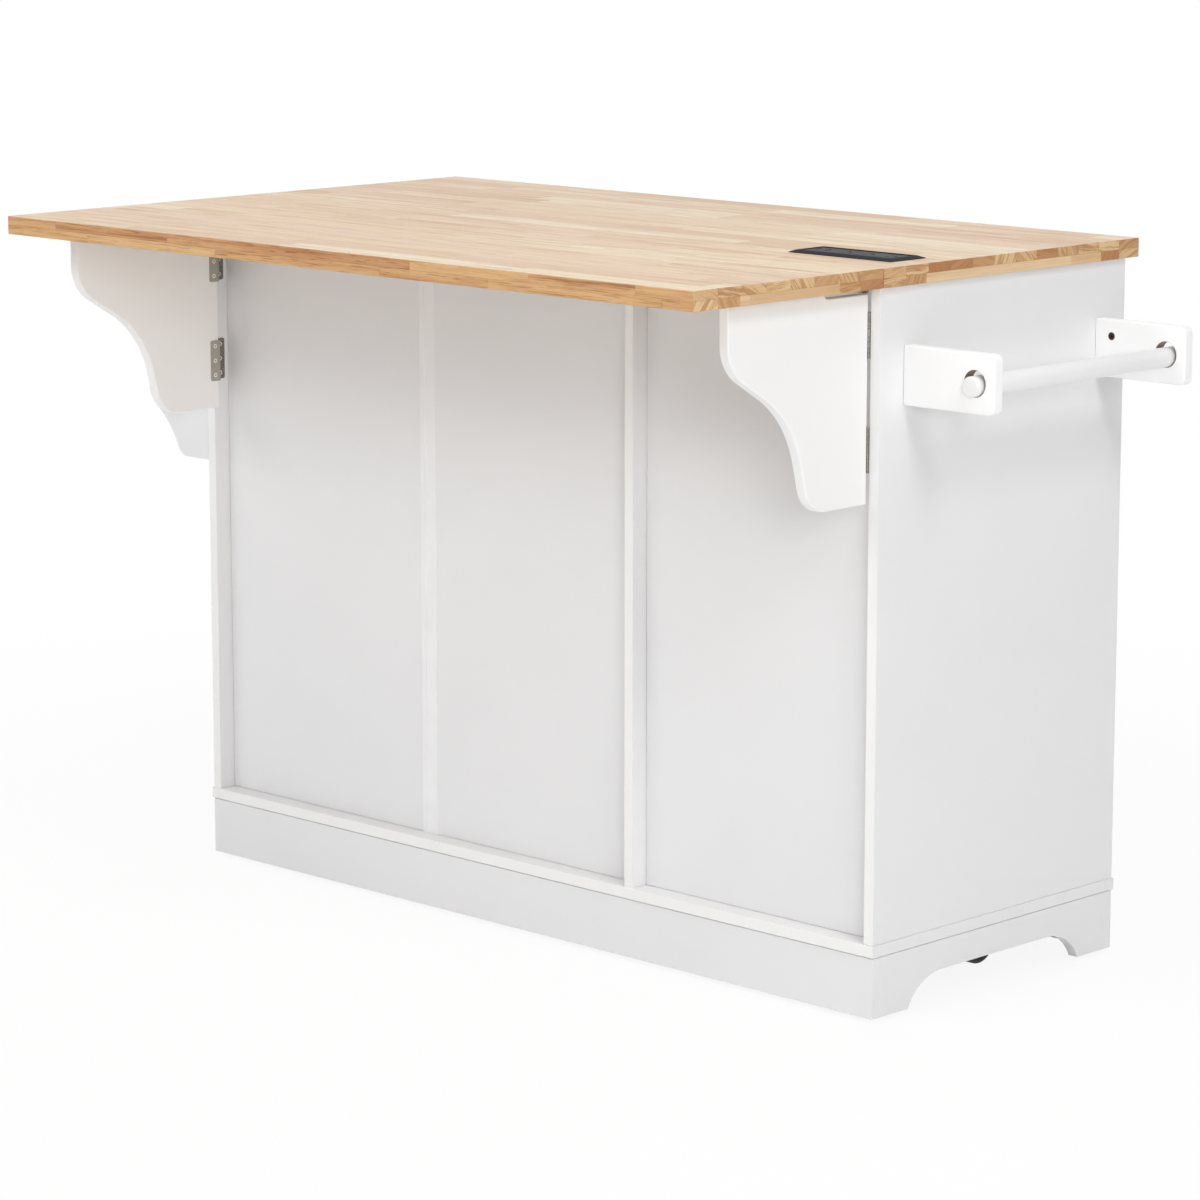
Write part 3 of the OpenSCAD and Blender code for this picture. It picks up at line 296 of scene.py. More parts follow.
def finished(name, mesh, finish, crease=CREASE):
    """An object with one finish, smooth but for the edges that turn by more than the crease."""
    mesh.materials.append(finish_of(finish))
    mesh.shade_smooth()
    mesh.set_sharp_from_angle(angle=math.radians(crease))
    return in_scene(name, mesh)


def add_piece(name, shell, finish, body, nodes, crease=CREASE, even=True, shade=None):
    """Makes a shell an object that rides on a body and stands for the named solids. Where
    shade is given, its material reads it for each point as "shade"."""
    points, quads, caps = shell
    mesh = bpy.data.meshes.new(name)
    mesh.from_pydata(points.tolist(), [], quads.tolist() + [cap.tolist() for cap in caps])
    if shade is not None:
        values = mesh.attributes.new("shade", "FLOAT", "POINT").data
        values.foreach_set("value", shade.astype(np.float32))
    piece = finished(name, mesh, finish, crease)
    if even:
        even_shading(piece)
    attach(piece, body)
    if nodes:
        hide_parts(*nodes)
    return piece


def even_shading(piece):
    """Keeps the flats of a board flat beside its rounded arrises."""
    even = piece.modifiers.new("Even shading", "WEIGHTED_NORMAL")
    even.mode, even.weight, even.keep_sharp = "FACE_AREA", 80, True


def eased_copy(node, ease, finish, body):
    """A copy of a board's solid whose long arrises are rounded, with its holes left as they
    are: the loose triangles are merged, flat neighbours joined, and the bevel takes the edges
    that turn by more than 60 degrees and are longer than 30 mm."""
    mesh = bpy.data.meshes.new(node + "_eased")
    work = bmesh.new()
    work.from_mesh(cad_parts[node].data)
    bmesh.ops.remove_doubles(work, verts=work.verts, dist=1e-6)
    bmesh.ops.dissolve_limit(work, angle_limit=0.01, verts=work.verts, edges=work.edges)
    weight = work.edges.layers.float.new("bevel_weight_edge")
    for edge in work.edges:
        if edge.calc_length() > 30 * MM and edge.calc_face_angle(0) > math.radians(60):
            edge[weight] = 1
    work.to_mesh(mesh)
    work.free()
    piece = finished(node + "_eased", mesh, finish)
    bevel = piece.modifiers.new("Eased arrises", "BEVEL")
    bevel.width, bevel.segments, bevel.limit_method = ease, 3, "WEIGHT"
    even_shading(piece)
    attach(piece, body)
    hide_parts(node)
    return piece


def refinish(finish, *nodes):
    """Gives solids that keep their shape a better material."""
    for node in nodes:
        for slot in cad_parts[node].material_slots:
            slot.material = finish_of(finish)


def by_facing(piece, edge, end=None):
    """Up to three finishes by the way a face looks: its own up or down, one along Y, one along
    X, which is its own too if none is given."""
    for finish in filter(None, (edge, end)):
        piece.data.materials.append(finish_of(finish))
    normals = np.empty(len(piece.data.polygons) * 3, np.float32)
    piece.data.polygons.foreach_get("normal", normals)
    strongest = np.abs(normals.reshape(-1, 3)).argmax(1)
    slots = np.array([2 if end else 0, 1, 0], np.int32)[strongest]
    piece.data.polygons.foreach_set("material_index", slots)


# ---------------------------------------------------------------- finishes


class Reading:
    """A number inside a shader. Arithmetic on it adds Math nodes."""

    def __init__(self, finish, socket):
        self.finish, self.socket = finish, socket

    def __add__(self, other):
        return self.finish.maths("ADD", self, other)

    def __sub__(self, other):
        return self.finish.maths("SUBTRACT", self, other)

    def __mul__(self, other):
        return self.finish.maths("MULTIPLY", self, other)

    def __truediv__(self, other):
        return self.finish.maths("DIVIDE", self, other)

    def __rsub__(self, other):
        return self.finish.maths("SUBTRACT", other, self)

    def __gt__(self, other):
        return self.finish.maths("GREATER_THAN", self, other)

    __radd__, __rmul__ = __add__, __mul__

    def floor(self):
        return self.finish.maths("FLOOR", self)

    def abs(self):
        return self.finish.maths("ABSOLUTE", self)

    def sin(self):
        return self.finish.maths("SINE", self)

    def cos(self):
        return self.finish.maths("COSINE", self)


class Node:
    """A node, whose outputs are read by name or place."""

    def __init__(self, finish, node):
        self.finish, self.node = finish, node

    def __getitem__(self, key):
        return Reading(self.finish, self.node.outputs[key])


class Shader:
    """A node tree and the ways in which this scene adds to it."""

    def __init__(self, tree):
        self.tree = tree

    def add(self, kind, settings=None, sockets=None):
        node = self.tree.nodes.new(kind)
        for setting, value in (settings or {}).items():
            if setting == "stops":
                ramp = node.color_ramp
                while len(ramp.elements) < len(value):
                    ramp.elements.new(1.0)
                for stop, (place, colour) in zip(ramp.elements, value):
                    stop.position, stop.color = place, colour
            else:
                setattr(node, setting, value)
        for socket, value in (sockets or {}).items():
            self.put(node.inputs[socket], value)
        return Node(self, node)

    def put(self, socket, value):
        if isinstance(value, Reading):
            self.tree.links.new(value.socket, socket)
        else:
            socket.default_value = value

    def maths(self, operation, *values):
        return self.add("ShaderNodeMath", {"operation": operation}, dict(enumerate(values)))["Value"]

    def spot(self):
        """The point of the surface in the frame."""
        return self.add("ShaderNodeTexCoord")["Object"]

    def place(self):
        """The same point as X, Y and Z."""
        split = self.add("ShaderNodeSeparateXYZ", None, {"Vector": self.spot()})
        return split["X"], split["Y"], split["Z"]

    def marked(self):
        """The number that the piece's own attribute gives each point."""
        return self.add("ShaderNodeAttribute", {"attribute_name": "shade"})["Fac"]

    def vector(self, x, y, z):
        return self.add("ShaderNodeCombineXYZ", None, {"X": x, "Y": y, "Z": z})["Vector"]

    def noise(self, vector, scale, detail=2.0, roughness=0.5):
        return self.add("ShaderNodeTexNoise", None, {
            "Vector": vector, "Scale": scale, "Detail": detail, "Roughness": roughness})[0]

    def chance(self, x, y, seed):
        """Three even random numbers that belong to a cell."""
        spots = self.add("ShaderNodeTexWhiteNoise", {"noise_dimensions": "3D"},
                         {"Vector": self.vector(x, y, seed)})
        split = self.add("ShaderNodeSeparateColor", None, {"Color": spots["Color"]})
        return split[0], split[1], split[2]

    def step(self, value, first, last):
        """Goes smoothly from 0 at first to 1 at last."""
        return self.add("ShaderNodeMapRange", {"interpolation_type": "SMOOTHSTEP"},
                        {0: value, 1: first, 2: last, 3: 0.0, 4: 1.0})["Result"]

    def blend(self, factor, first, second):
        return self.add("ShaderNodeMix", {"data_type": "RGBA"}, {0: factor, 6: first, 7: second})[2]

    def coats(self, colour, *coats):
        """A colour with others over it in turn, each as dense as its own factor says."""
        for factor, shown in coats:
            colour = self.blend(factor, colour, srgb(*shown))
        return colour

    def seen(self):
        """1 for a ray that shows the background: from the camera, a reflection or through glass."""
        path = self.add("ShaderNodeLightPath")
        return self.maths("MAXIMUM", path["Is Camera Ray"],
                          self.maths("MAXIMUM", path["Is Glossy Ray"], path["Is Transmission Ray"]))

    def ramp(self, factor, *stops):
        return self.add("ShaderNodeValToRGB", {"stops": stops}, {"Fac": factor})["Color"]

    def bump(self, height, distance, strength=1.0):
        return self.add("ShaderNodeBump", None, {
            "Height": height, "Distance": distance, "Strength": strength})["Normal"]


class Finish(Shader):
    """A material, whose surface takes values and links by name, with _ for a space."""

    def __init__(self, name, **constants):
        self.material = bpy.data.materials.new(name)
        self.material.use_nodes = True
        super().__init__(self.material.node_tree)
        self.surface = self.tree.nodes["Principled BSDF"]
        self.feed(**constants)

    def feed(self, **values):
        for socket, value in values.items():
            self.put(self.surface.inputs[socket.replace("_", " ")], value)


def staves(finish, along, across, width, length, seed):
    """Divides a face into rows of staves. The row is the whole part of across / width. Along a
    row the stave is the whole part of u, with u = along / (the row's own length) + the row's
    own shift, bent by a sine so that no two staves are equally long. Returns three random
    numbers of the stave and how near a point is to its edges, in metres."""
    v = across / width
    row = v.floor()
    r0, r1, r2 = finish.chance(row, 3.1, seed)
    stave = length * (0.8 + 0.5 * r0)
    u = along / stave + 7 * r1 + 9
    u = u + 0.17 * (2.2 * u + 6.28 * r2).sin()
    cell = u.floor()
    a, b, c = finish.chance(cell, row, seed + 5.5)
    to_row = (0.5 - (v - row - 0.5).abs()) * width
    to_end = (0.5 - (u - cell - 0.5).abs()) * stave
    return a, b, c, finish.maths("MINIMUM", to_row, to_end)


def grain(finish, along, across, depth, a, b):
    """Fibre of one stave: three noises drawn out along it, broad streaks, fine streaks and
    short pores, each stave with its own part of the noise."""
    streaks = finish.vector(along * 4.2 + 31 * a, across * 84 + 17 * b, depth * 84)
    fibres = finish.vector(along * 16 + 11 * b, across * 420 + 23 * a, depth * 420)
    pits = finish.vector(along * 85 + 5 * a, across * 1150, depth * 1150)
    return (finish.noise(streaks, 1.0, 5.0, 0.66), finish.noise(fibres, 1.0),
            finish.step(finish.noise(pits, 1.0, 1.0), 0.62, 0.74))


def sanded(wood, colour, dull, fine, pores, near):
    """Gives wood its colour, a sheen that the fibre unsettles, and a skin that is lower in the
    pores and at a stave's edge."""
    wood.feed(Base_Color=colour, Roughness=dull + 0.14 * fine,
              Normal=wood.bump(fine * 0.5 - pores - wood.step(near, 0.0004, 0.0), 0.00012, 0.5))
    return wood.material


def butcher_face(look):
    """The sanded top and underside: staves along X in tans and pinks."""
    wood = Finish("butcher_block_face", Specular_IOR_Level=0.3)
    x, y, z = wood.place()
    a, b, c, near = staves(wood, x, y - SEAM_Y, look.stave_width, look.stave_length, 2.0)
    broad, fine, pores = grain(wood, x, y, z, a, b)
    flecks = wood.noise(wood.vector(x * 17 + 9 * c, y * 250, z * 250), 1.0, 3.0, 0.6)
    colour = wood.ramp(a, (0.0, opaque(look.pale)), (0.34, srgb(236, 215, 184)),
                       (0.58, srgb(230, 204, 172)), (0.78, srgb(231, 205, 179)),
                       (1.0, opaque(look.brown)))
    colour = wood.coats(colour,
                        (wood.step(broad, 0.42, 0.66) * (0.25 + 0.65 * b), (207, 171, 134)),
                        (wood.step(broad, 0.6, 0.72) * c * 0.7, (182, 138, 102)),
                        (wood.step(flecks, 0.54, 0.68) * (0.1 + 0.4 * b), (190, 150, 116)),
                        (wood.step(fine, 0.46, 0.72) * 0.34, (190, 152, 118)),
                        (pores * (0.14 + 0.3 * c), (156, 116, 84)),
                        (wood.step(near, 0.0005, 0.0) * 0.2, (150, 112, 82)))
    return sanded(wood, colour, 0.36, fine, pores, near)


def butcher_long_edge(look):
    """The long edges: two layers of long grain strips, the upper one darker."""
    wood = Finish("butcher_block_long_edge", Specular_IOR_Level=0.25)
    x, y, z = wood.place()
    a, b, c, near = staves(wood, x, z - UNDER_Z, LAYER_T, look.stave_length * 0.62, 8.0)
    broad, fine, pores = grain(wood, x, z * 1.4, y, a, b)
    flecks = wood.noise(wood.vector(x * 24 + 9 * c, z * 520, y * 520), 1.0)
    colour = wood.ramp(a * 0.7 + 0.27 * (z > UNDER_Z + LAYER_T), (0.0, srgb(226, 188, 138)),
                       (0.36, srgb(219, 177, 126)), (0.6, srgb(211, 166, 118)),
                       (0.82, srgb(205, 157, 111)), (1.0, srgb(190, 140, 97)))
    colour = wood.coats(colour,
                        (wood.step(broad, 0.42, 0.64) * (0.3 + 0.7 * b), (190, 132, 88)),
                        (wood.step(broad, 0.56, 0.68) * c * 0.65, (138, 86, 54)),
                        (wood.step(fine, 0.48, 0.74) * 0.5, (168, 116, 76)),
                        (wood.step(flecks, 0.56, 0.66) * (0.2 + 0.6 * a), (142, 88, 54)),
                        (pores * 0.3, (138, 92, 60)),
                        (wood.step(near, 0.0006, 0.0) * 0.35, (130, 86, 56)))
    return sanded(wood, colour, 0.42, fine, pores, near)


def butcher_end(look):
    """The short ends: above, the cut ends of the staves; below, long grain strips that meet
    cut ends at each corner. End grain is bands of growth of uneven width, a noise drawn out
    across a slanted axis, with open pores."""
    wood = Finish("butcher_block_end", Specular_IOR_Level=0.25)
    x, y, z = wood.place()
    across = y - SEAM_Y
    upper = z > UNDER_Z + LAYER_T
    block = (across / look.stave_width).floor()
    a, b, c = wood.chance(block, upper, 4.0)
    lean = 0.4 + 2.3 * b
    bend = wood.noise(wood.spot(), 55.0)
    rings = (y * lean.cos() + z * lean.sin()) * (230 + 150 * c) + 1.1 * bend + 40 * a
    along = (z * lean.cos() - y * lean.sin()) * 22 + 13 * b
    band = wood.step(wood.noise(wood.vector(rings, along, x * 22), 1.0, 3.0, 0.6), 0.42, 0.62)
    pores = wood.step(wood.noise(wood.spot(), 1500.0, 1.0), 0.6, 0.72)
    cut = wood.ramp(a, (0.0, srgb(228, 196, 150)), (0.5, srgb(212, 172, 126)),
                    (1.0, srgb(182, 128, 84)))
    cut = wood.coats(cut, (band * (0.4 + 0.4 * c), (168, 114, 70)), (pores * 0.45, (128, 82, 50)))
    s, t, _, _ = staves(wood, y, z - UNDER_Z, LAYER_T, look.stave_length * 0.7, 12.0)
    broad, fine, fine_pores = grain(wood, y, z * 1.4, x, s, t)
    strip = wood.ramp(s, (0.0, srgb(231, 202, 163)), (0.6, srgb(224, 191, 150)),
                      (1.0, srgb(213, 177, 136)))
    strip = wood.coats(strip, (wood.step(broad, 0.45, 0.75) * 0.6, (196, 152, 110)),
                       (wood.step(fine, 0.5, 0.8) * 0.25 + fine_pores * 0.2, (170, 124, 86)))
    past_leaf, past_top = ((y - float(low[1] + high[1]) / 2).abs() - float(high[1] - low[1]) / 2
                           for low, high in ((LEAF_LOW, LEAF_HIGH), (TOP_LOW, TOP_HIGH)))
    on_top = y > SEAM_Y
    corner = past_leaf * (1 - on_top) + past_top * on_top > -1.9 * look.stave_width
    cut_here = wood.maths("MAXIMUM", upper, corner)
    to_block = (0.5 - (across / look.stave_width - block - 0.5).abs()) * look.stave_width
    to_layer = (z - (UNDER_Z + LAYER_T)).abs()
    line = wood.step(wood.maths("MINIMUM", to_layer,
                                wood.maths("MAXIMUM", to_block, 0.01 * (1 - cut_here))), 0.0006, 0.0)
    colour = wood.coats(wood.blend(cut_here, strip, cut), (line * 0.35, (120, 78, 48)))
    wood.feed(Base_Color=colour, Roughness=0.45 + 0.15 * bend,
              Normal=wood.bump(band * 0.3 - pores - line, 0.00012, 0.5))
    return wood.material


def satin_paint(name, colour, roughness=0.38, raw_wood_and_shade=False):
    """Sprayed satin paint: a faint cloudiness in the colour and a fine orange peel. Where its
    piece says so, raw wood shows, its brown darkened with painted shade."""
    paint = Finish(name, Roughness=roughness)
    spot = paint.spot()
    cloud = paint.step(paint.noise(spot, 5.0, 3.0, 0.6), 0.3, 0.8)
    look = paint.blend(cloud, opaque(colour), opaque(colour, 0.98))
    if raw_wood_and_shade:
        # raw wood brown, darkened as painted shade of the hole
        look = paint.blend(paint.marked(), look, srgb(122, 94, 74))
    paint.feed(Base_Color=look, Roughness=roughness - 0.04 + 0.1 * paint.noise(spot, 60.0),
               Normal=paint.bump(paint.noise(spot, 420.0), 0.00006, 0.25))
    return paint.material


def plated_metal(name, colour, roughness, streak=1.0, shaded=False, metallic=1.0, barrels=()):
    """Plated steel: uneven sheen, drawn out along Z where it was brushed, and small dull marks.
    A shaded one gets painted shade where its piece marks it, and the knuckles round an upright
    pin at one of the places in X get patchy painted shade."""
    metal = Finish(name, Metallic=metallic, Roughness=roughness)
    x, y, z = metal.place()
    brushed = metal.noise(metal.vector(x, y, z * streak), 700.0, 2.0, 0.6)
    marks = metal.step(metal.noise(metal.spot(), 260.0, 3.0, 0.6), 0.55, 0.75)
    look = metal.blend(marks * 0.5, opaque(colour), opaque(colour, 0.72))
    # painted shade in the crevice round each hinge pin, darker in patches
    if barrels:
        near = metal.maths("MINIMUM", *((x - float(pin)).abs() for pin in barrels))
        patches = metal.noise(metal.vector(x * 0.3, y * 0.3, z), 620.0, 2.0, 0.6)
        knuckle_shade = 0.2 + 0.4 * metal.step(patches, 0.3, 0.6)
        look = metal.blend(metal.step(near, 0.005, 0.003) * knuckle_shade, look, srgb(58, 50, 42))
    # painted shade: near black where the piece's shade attribute marks a recess
    if shaded:
        look = metal.blend(metal.marked() * 0.9, look, (0.02, 0.018, 0.016, 1.0))
    metal.feed(Base_Color=look, Roughness=roughness + 0.12 * brushed + 0.1 * marks,
               Normal=metal.bump(brushed, 0.00003, 0.3))
    return metal.material


def moulded_plastic(name, colour, roughness, peel=900.0, gloss=0.5):
    """Moulded plastic: a fine spark-eroded skin and faint flow marks in the sheen."""
    plastic = Finish(name, Roughness=roughness, Specular_IOR_Level=gloss)
    spot = plastic.spot()
    flow = plastic.noise(spot, 22.0, 3.0, 0.6)
    lighter = opaque([min(1.0, 1.12 * part + 0.002) for part in colour[:3]])
    plastic.feed(Base_Color=plastic.blend(flow, opaque(colour), lighter),
                 Roughness=roughness + 0.12 * flow,
                 Normal=plastic.bump(plastic.noise(spot, peel, 1.0), 0.00005, 0.35))
    return plastic.material


FINISHES = {}


def finish_of(name):
    """A finish, made when it is first asked for."""
    if name not in FINISHES:
        scene = bpy.context.scene
        wood, paint, metal = scene.island_wood, scene.island_paint, scene.island_metal
        makers = {
            "face": lambda: butcher_face(wood),
            "edge": lambda: butcher_long_edge(wood),
            "end": lambda: butcher_end(wood),
            "board": lambda: satin_paint("satin_white_board", paint.colour, paint.roughness),
            "band": lambda: satin_paint("edge_banding", paint.band_colour, paint.roughness),
            "inner": lambda: satin_paint("inner_white_board", paint.inner_colour, 0.5),
            "strip": lambda: moulded_plastic("white_joint_strip", paint.colour, 0.4),
            "shaped": lambda: satin_paint("satin_white_shaped_wood", paint.shaped_colour,
                                          paint.roughness),
            "bar": lambda: satin_paint("painted_dowel", paint.bar_colour, 0.32),
            "rack": lambda: satin_paint("painted_rack_plate", paint.rack_colour, 0.36, raw_wood_and_shade=True),
            "nickel": lambda: plated_metal("satin_nickel", metal.nickel, 0.34, 0.08),
            "hinge": lambda: plated_metal("satin_nickel_hinge", metal.nickel, 0.34, 0.08, barrels=(
                FAR_HIGH[0] + 2.8 * MM, PANEL_LOW[0] - 2.8 * MM)),
            "zinc": lambda: plated_metal("bright_zinc", metal.zinc, 0.26),
            "screw": lambda: plated_metal("bright_screw", srgb(250, 250, 250), 0.3, shaded=True,
                                          metallic=0.5),
            # cam colour darkened to paint the shade of the hole it sits in
            "cam": lambda: plated_metal("cam_steel_in_painted_shade", srgb(84, 66, 55), 0.5, shaded=True),
            "black": lambda: moulded_plastic("black_plastic", metal.black, 0.5, gloss=0.1),
            "insert": lambda: moulded_plastic("black_socket_inserts", metal.black, 0.4, gloss=0.1),
            "rubber": lambda: moulded_plastic("grey_tread", (0.035, 0.035, 0.037), 0.6, 500.0),
        }
        FINISHES[name] = makers[name]()
    return FINISHES[name]


# ---------------------------------------------------------------- settings


def colour_setting(name, description, *shown):
    """A colour to choose, whose default is written as it shows on a screen."""
    return FloatVectorProperty(name=name, description=description, default=srgb(*shown)[:3],
                               subtype="COLOR", min=0, max=1)


class WoodLook(bpy.types.PropertyGroup):
    """Sizes and colours of the butcher block."""

    stave_width: FloatProperty(name="Stave width", description="Width of one stave of the worktop",
                               default=0.041, min=0.02, max=0.08, unit="LENGTH")
    stave_length: FloatProperty(name="Stave length", description="Usual length of one stave",
                                default=0.33, min=0.1, max=1.0, unit="LENGTH")
    ease: FloatProperty(name="Arris", description="Radius of the worktop's sanded arrises",
                        default=0.0012, min=0.0003, max=0.004, unit="LENGTH")
    pale: colour_setting("Pale stave", "Colour of the palest staves", 241, 225, 198)
    brown: colour_setting("Brown stave", "Colour of the brownest staves", 217, 187, 156)


class PaintLook(bpy.types.PropertyGroup):
    """Sizes and colours of the painted boards."""

    ease: FloatProperty(name="Board arris", description="Radius of the carcass boards' arrises",
                        default=0.0008, min=0.0002, max=0.003, unit="LENGTH")
    scroll_ease: FloatProperty(
        name="Shaped arris", description="Radius of the brackets' and rack plates' arrises",
        default=0.0024, min=0.0005, max=0.005, unit="LENGTH")
    colour: colour_setting("Paint", "Colour of the painted boards", 236, 236, 237)
    band_colour: colour_setting(
        "Edge banding", "Colour of the boards' front and rear edges", 246, 246, 245)
    shaped_colour: colour_setting(
        "Shaped wood paint", "Colour of the painted brackets", 246, 245, 244)
    bar_colour: colour_setting("Bar paint", "Colour of the towel bar", 240, 240, 240)
    inner_colour: colour_setting("Inner board", "Colour of the boards inside", 236, 235, 232)
    rack_colour: colour_setting("Rack paint", "Colour of the towel rack", 253, 253, 253)
    roughness: FloatProperty(name="Paint roughness", description="How dull the paint is",
                             default=0.38, min=0.05, max=1.0, subtype="FACTOR")


class MetalLook(bpy.types.PropertyGroup):
    """Colours of the fittings."""

    nickel: colour_setting("Nickel", "Colour of the hinges and knobs", 186, 180, 170)
    zinc: colour_setting("Zinc", "Colour of the screws and casters", 212, 213, 214)
    black: colour_setting("Black plastic", "Colour of the power strip", 33, 35, 38)


class StageLook(bpy.types.PropertyGroup):
    """Light and floor of the studio."""

    sky: FloatProperty(name="Sky", description="Strength of the light from all round",
                       default=0.27, min=0.0, max=2.0)
    key: FloatProperty(
        name="Lamps", description="Power of the high lamp on the right, which the others follow",
        default=68.0, min=0.0, max=500.0, subtype="POWER", unit="POWER")
    floor: FloatVectorProperty(name="Floor", description="Colour of the floor",
                               default=(0.9, 0.9, 0.9), subtype="COLOR", min=0, max=1)


# ---------------------------------------------------------------- operators


class ISLAND_OT_worktop(bpy.types.Operator):
    """The worktop with the power strip's cut-out, and the leaf beside it"""

    bl_idname = "island.worktop"
    bl_label = "Worktop and leaf"

    def execute(self, context):
        ease = context.scene.island_wood.ease
        opening_low, opening_high = low_high("power_strip_case")
        hole = (opening_low[:2] + 8 * MM, opening_high[:2] - 8 * MM)
        thick = TOP_HIGH[2] - TOP_LOW[2]
        rings = [(round_rectangle(TOP_LOW[:2] + d, TOP_HIGH[:2] - d, 1.6 * ease - d), h)
                 for h, d in ease_profile(thick, ease)]
        rings += [(round_rectangle(*hole, MM), h) for h in (thick, 0.0)]
        top = stacked([on_axes(flat, h, (0, 0, UNDER_Z), *LYING) for flat, h in rings], joined=True)
        leaf = eased_board(LEAF_LOW, LEAF_HIGH, ease)
        for name, shell, body, node in (("worktop", top, "root", "main_top"),
                                        ("leaf_board", leaf, "leaf", "drop_leaf")):
            piece = add_piece(name, shell, "face", body, [node])
            by_facing(piece, "edge", "end")
        return {"FINISHED"}


class ISLAND_OT_carcass(bpy.types.Operator):
    """The boards of the body: sides, partition, bottom, plinth, back, rails and shelf"""

    bl_idname = "island.carcass"
    bl_label = "Carcass"

    def execute(self, context):
        ease = context.scene.island_paint.ease
        for node in ("side_panel_right", "bottom_board"):
            piece = add_piece(node + "_board", eased_board(*low_high(node), ease), "board",
                              "root", [node])
            by_facing(piece, "band")
        for node in ("side_panel_left", "partition"):
            by_facing(eased_copy(node, ease, "board", "root"), "band")
        self.plinth(ease)
        self.back()
        add_piece("shelf_board", eased_board(*low_high("shelf"), ease), "inner",
                  "root", ["shelf"])
        refinish("zinc", "shelf_pins", "drawer_runners")
        return {"FINISHED"}

    def plinth(self, ease):
        """Two long boards under an open joint, and end boards between them with a flat arch
        whose shoulders are parts of an ellipse: run (cos 20 - cos t) / cos 20 and
        rise (sin t - sin 20) / (1 - sin 20), with t from 20 to 90 degrees."""
        low, high = low_high("plinth_long_boards")
        open_joint, foot, run, rise = 1.2 * MM, 68 * MM, 66 * MM, 38.5 * MM
        high[2] -= open_joint
        add_piece("plinth_boards", together(
            eased_board(low, (high[0], low[1] + BOARD_T, high[2]), ease),
            eased_board((low[0], high[1] - BOARD_T, low[2]), high, ease)), "board",
            "root", ["plinth_long_boards"])
        t, start = np.radians(np.linspace(20, 90, 22)), math.radians(20)
        curve = np.stack([run * (math.cos(start) - np.cos(t)) / math.cos(start),
                          rise * (np.sin(t) - math.sin(start)) / (1 - math.sin(start))], 1)
        span = (high[1] - low[1]) - 2 * foot
        mirrored = curve[::-1] * (-1, 1) + (span, 0)
        end_low, end_high = low_high("plinth_end_boards")
        y0, y1 = end_low[1] - low[1], end_high[1] - low[1]
        arch = np.concatenate([curve, mirrored]) + (foot, 0)
        tall = high[2] - low[2]
        outline = np.concatenate([[(y0, 0)], arch, [(y1, 0), (y1, tall), (y0, tall)]])
        ends = [cut_board(against_clock(outline), BOARD_T, ease, (x, low[1], low[2]), *FACING_X)
                for x in (end_low[0], end_high[0] - BOARD_T)]
        add_piece("plinth_arched_ends", together(*ends), "board",
                  "root", ["plinth_end_boards"])

    def back(self):
        """The back panels with an open joint round each, the stepped strip with two flanges
        and a web that joins two of them, and the rails under the worktop."""
        low, high = BACK_LOW, BACK_HIGH
        strip_low, strip_high = low_high("back_joint_strip")
        middle = (strip_low[0] + strip_high[0]) / 2
        part_low, part_high = low_high("partition")
        web, gap = 0.8 * MM, 0.4 * MM
        bays = [(low[0], middle - web), (middle + web, part_low[0]), (part_high[0], high[0])]
        panels = together(*[eased_board((x0 + gap, low[1], low[2] + gap),
                                        (x1 - gap, high[1], high[2]), 0.4 * MM) for x0, x1 in bays])
        add_piece("back_boards", panels, "board", "root", ["back_panels"])
        half, flange = (strip_high[0] - strip_low[0]) / 2, 1.6 * MM
        depth = strip_high[1] - strip_low[1]
        side = np.array([(web, flange), (half, flange), (half, 0.3 * MM), (half - 0.5 * MM, 0)])
        step = 0.9 * MM
        low_side = np.concatenate([side[:2], side[2:] + (0, step), [(-5.2 * MM, step), (-5.3 * MM, 0)]])
        outer = np.concatenate([low_side, (side * (-1, 1))[::-1]])
        inner = np.concatenate([side, (side * (-1, 1))[::-1]]) * (1, -1) + (0, depth)
        section = against_clock(np.concatenate([outer[::-1], inner]))
        strip = cut_board(section, strip_high[2] - strip_low[2], 0.1 * MM,
                          (middle, strip_low[1], strip_low[2]), *LYING, 2)
        add_piece("joint_strip", strip, "strip", "root", ["back_joint_strip"])
        refinish("inner", "top_rails")


class ISLAND_OT_brackets(bpy.types.Operator):
    """The two scrolled brackets that hold the leaf up"""

    bl_idname = "island.brackets"
    bl_label = "Leaf brackets"

    def execute(self, context):
        ease = context.scene.island_paint.scroll_ease
        for side in ("right", "left"):
            node, body = "bracket_" + side, "bracket_" + side[0]
            low, high = low_high(node)
            reach, height, notch_h, notch_l = high[1] - low[1], high[2] - low[2], 8.2 * MM, 79 * MM
            parts = scrolled(reach, height, nose_z=height - 47 * MM, nose_r=55 * MM, slope_top=31,
                             slope_l=46 * MM, cove_r=135 * MM, slope_low=76, heel_r=37 * MM)
            notch = arc((notch_l - notch_h, height), notch_h, -90, 0, 10)
            outline = np.concatenate([[(0, 0), (0, height - notch_h)], notch, *parts])
            shell = cut_board(against_clock(outline), high[0] - low[0], ease,
                              (low[0], high[1], low[2]), (0, -1, 0), (0, 0, 1), (1, 0, 0), 5)
            add_piece("scrolled_" + node, shell, "shaped", body, [node])
        return {"FINISHED"}


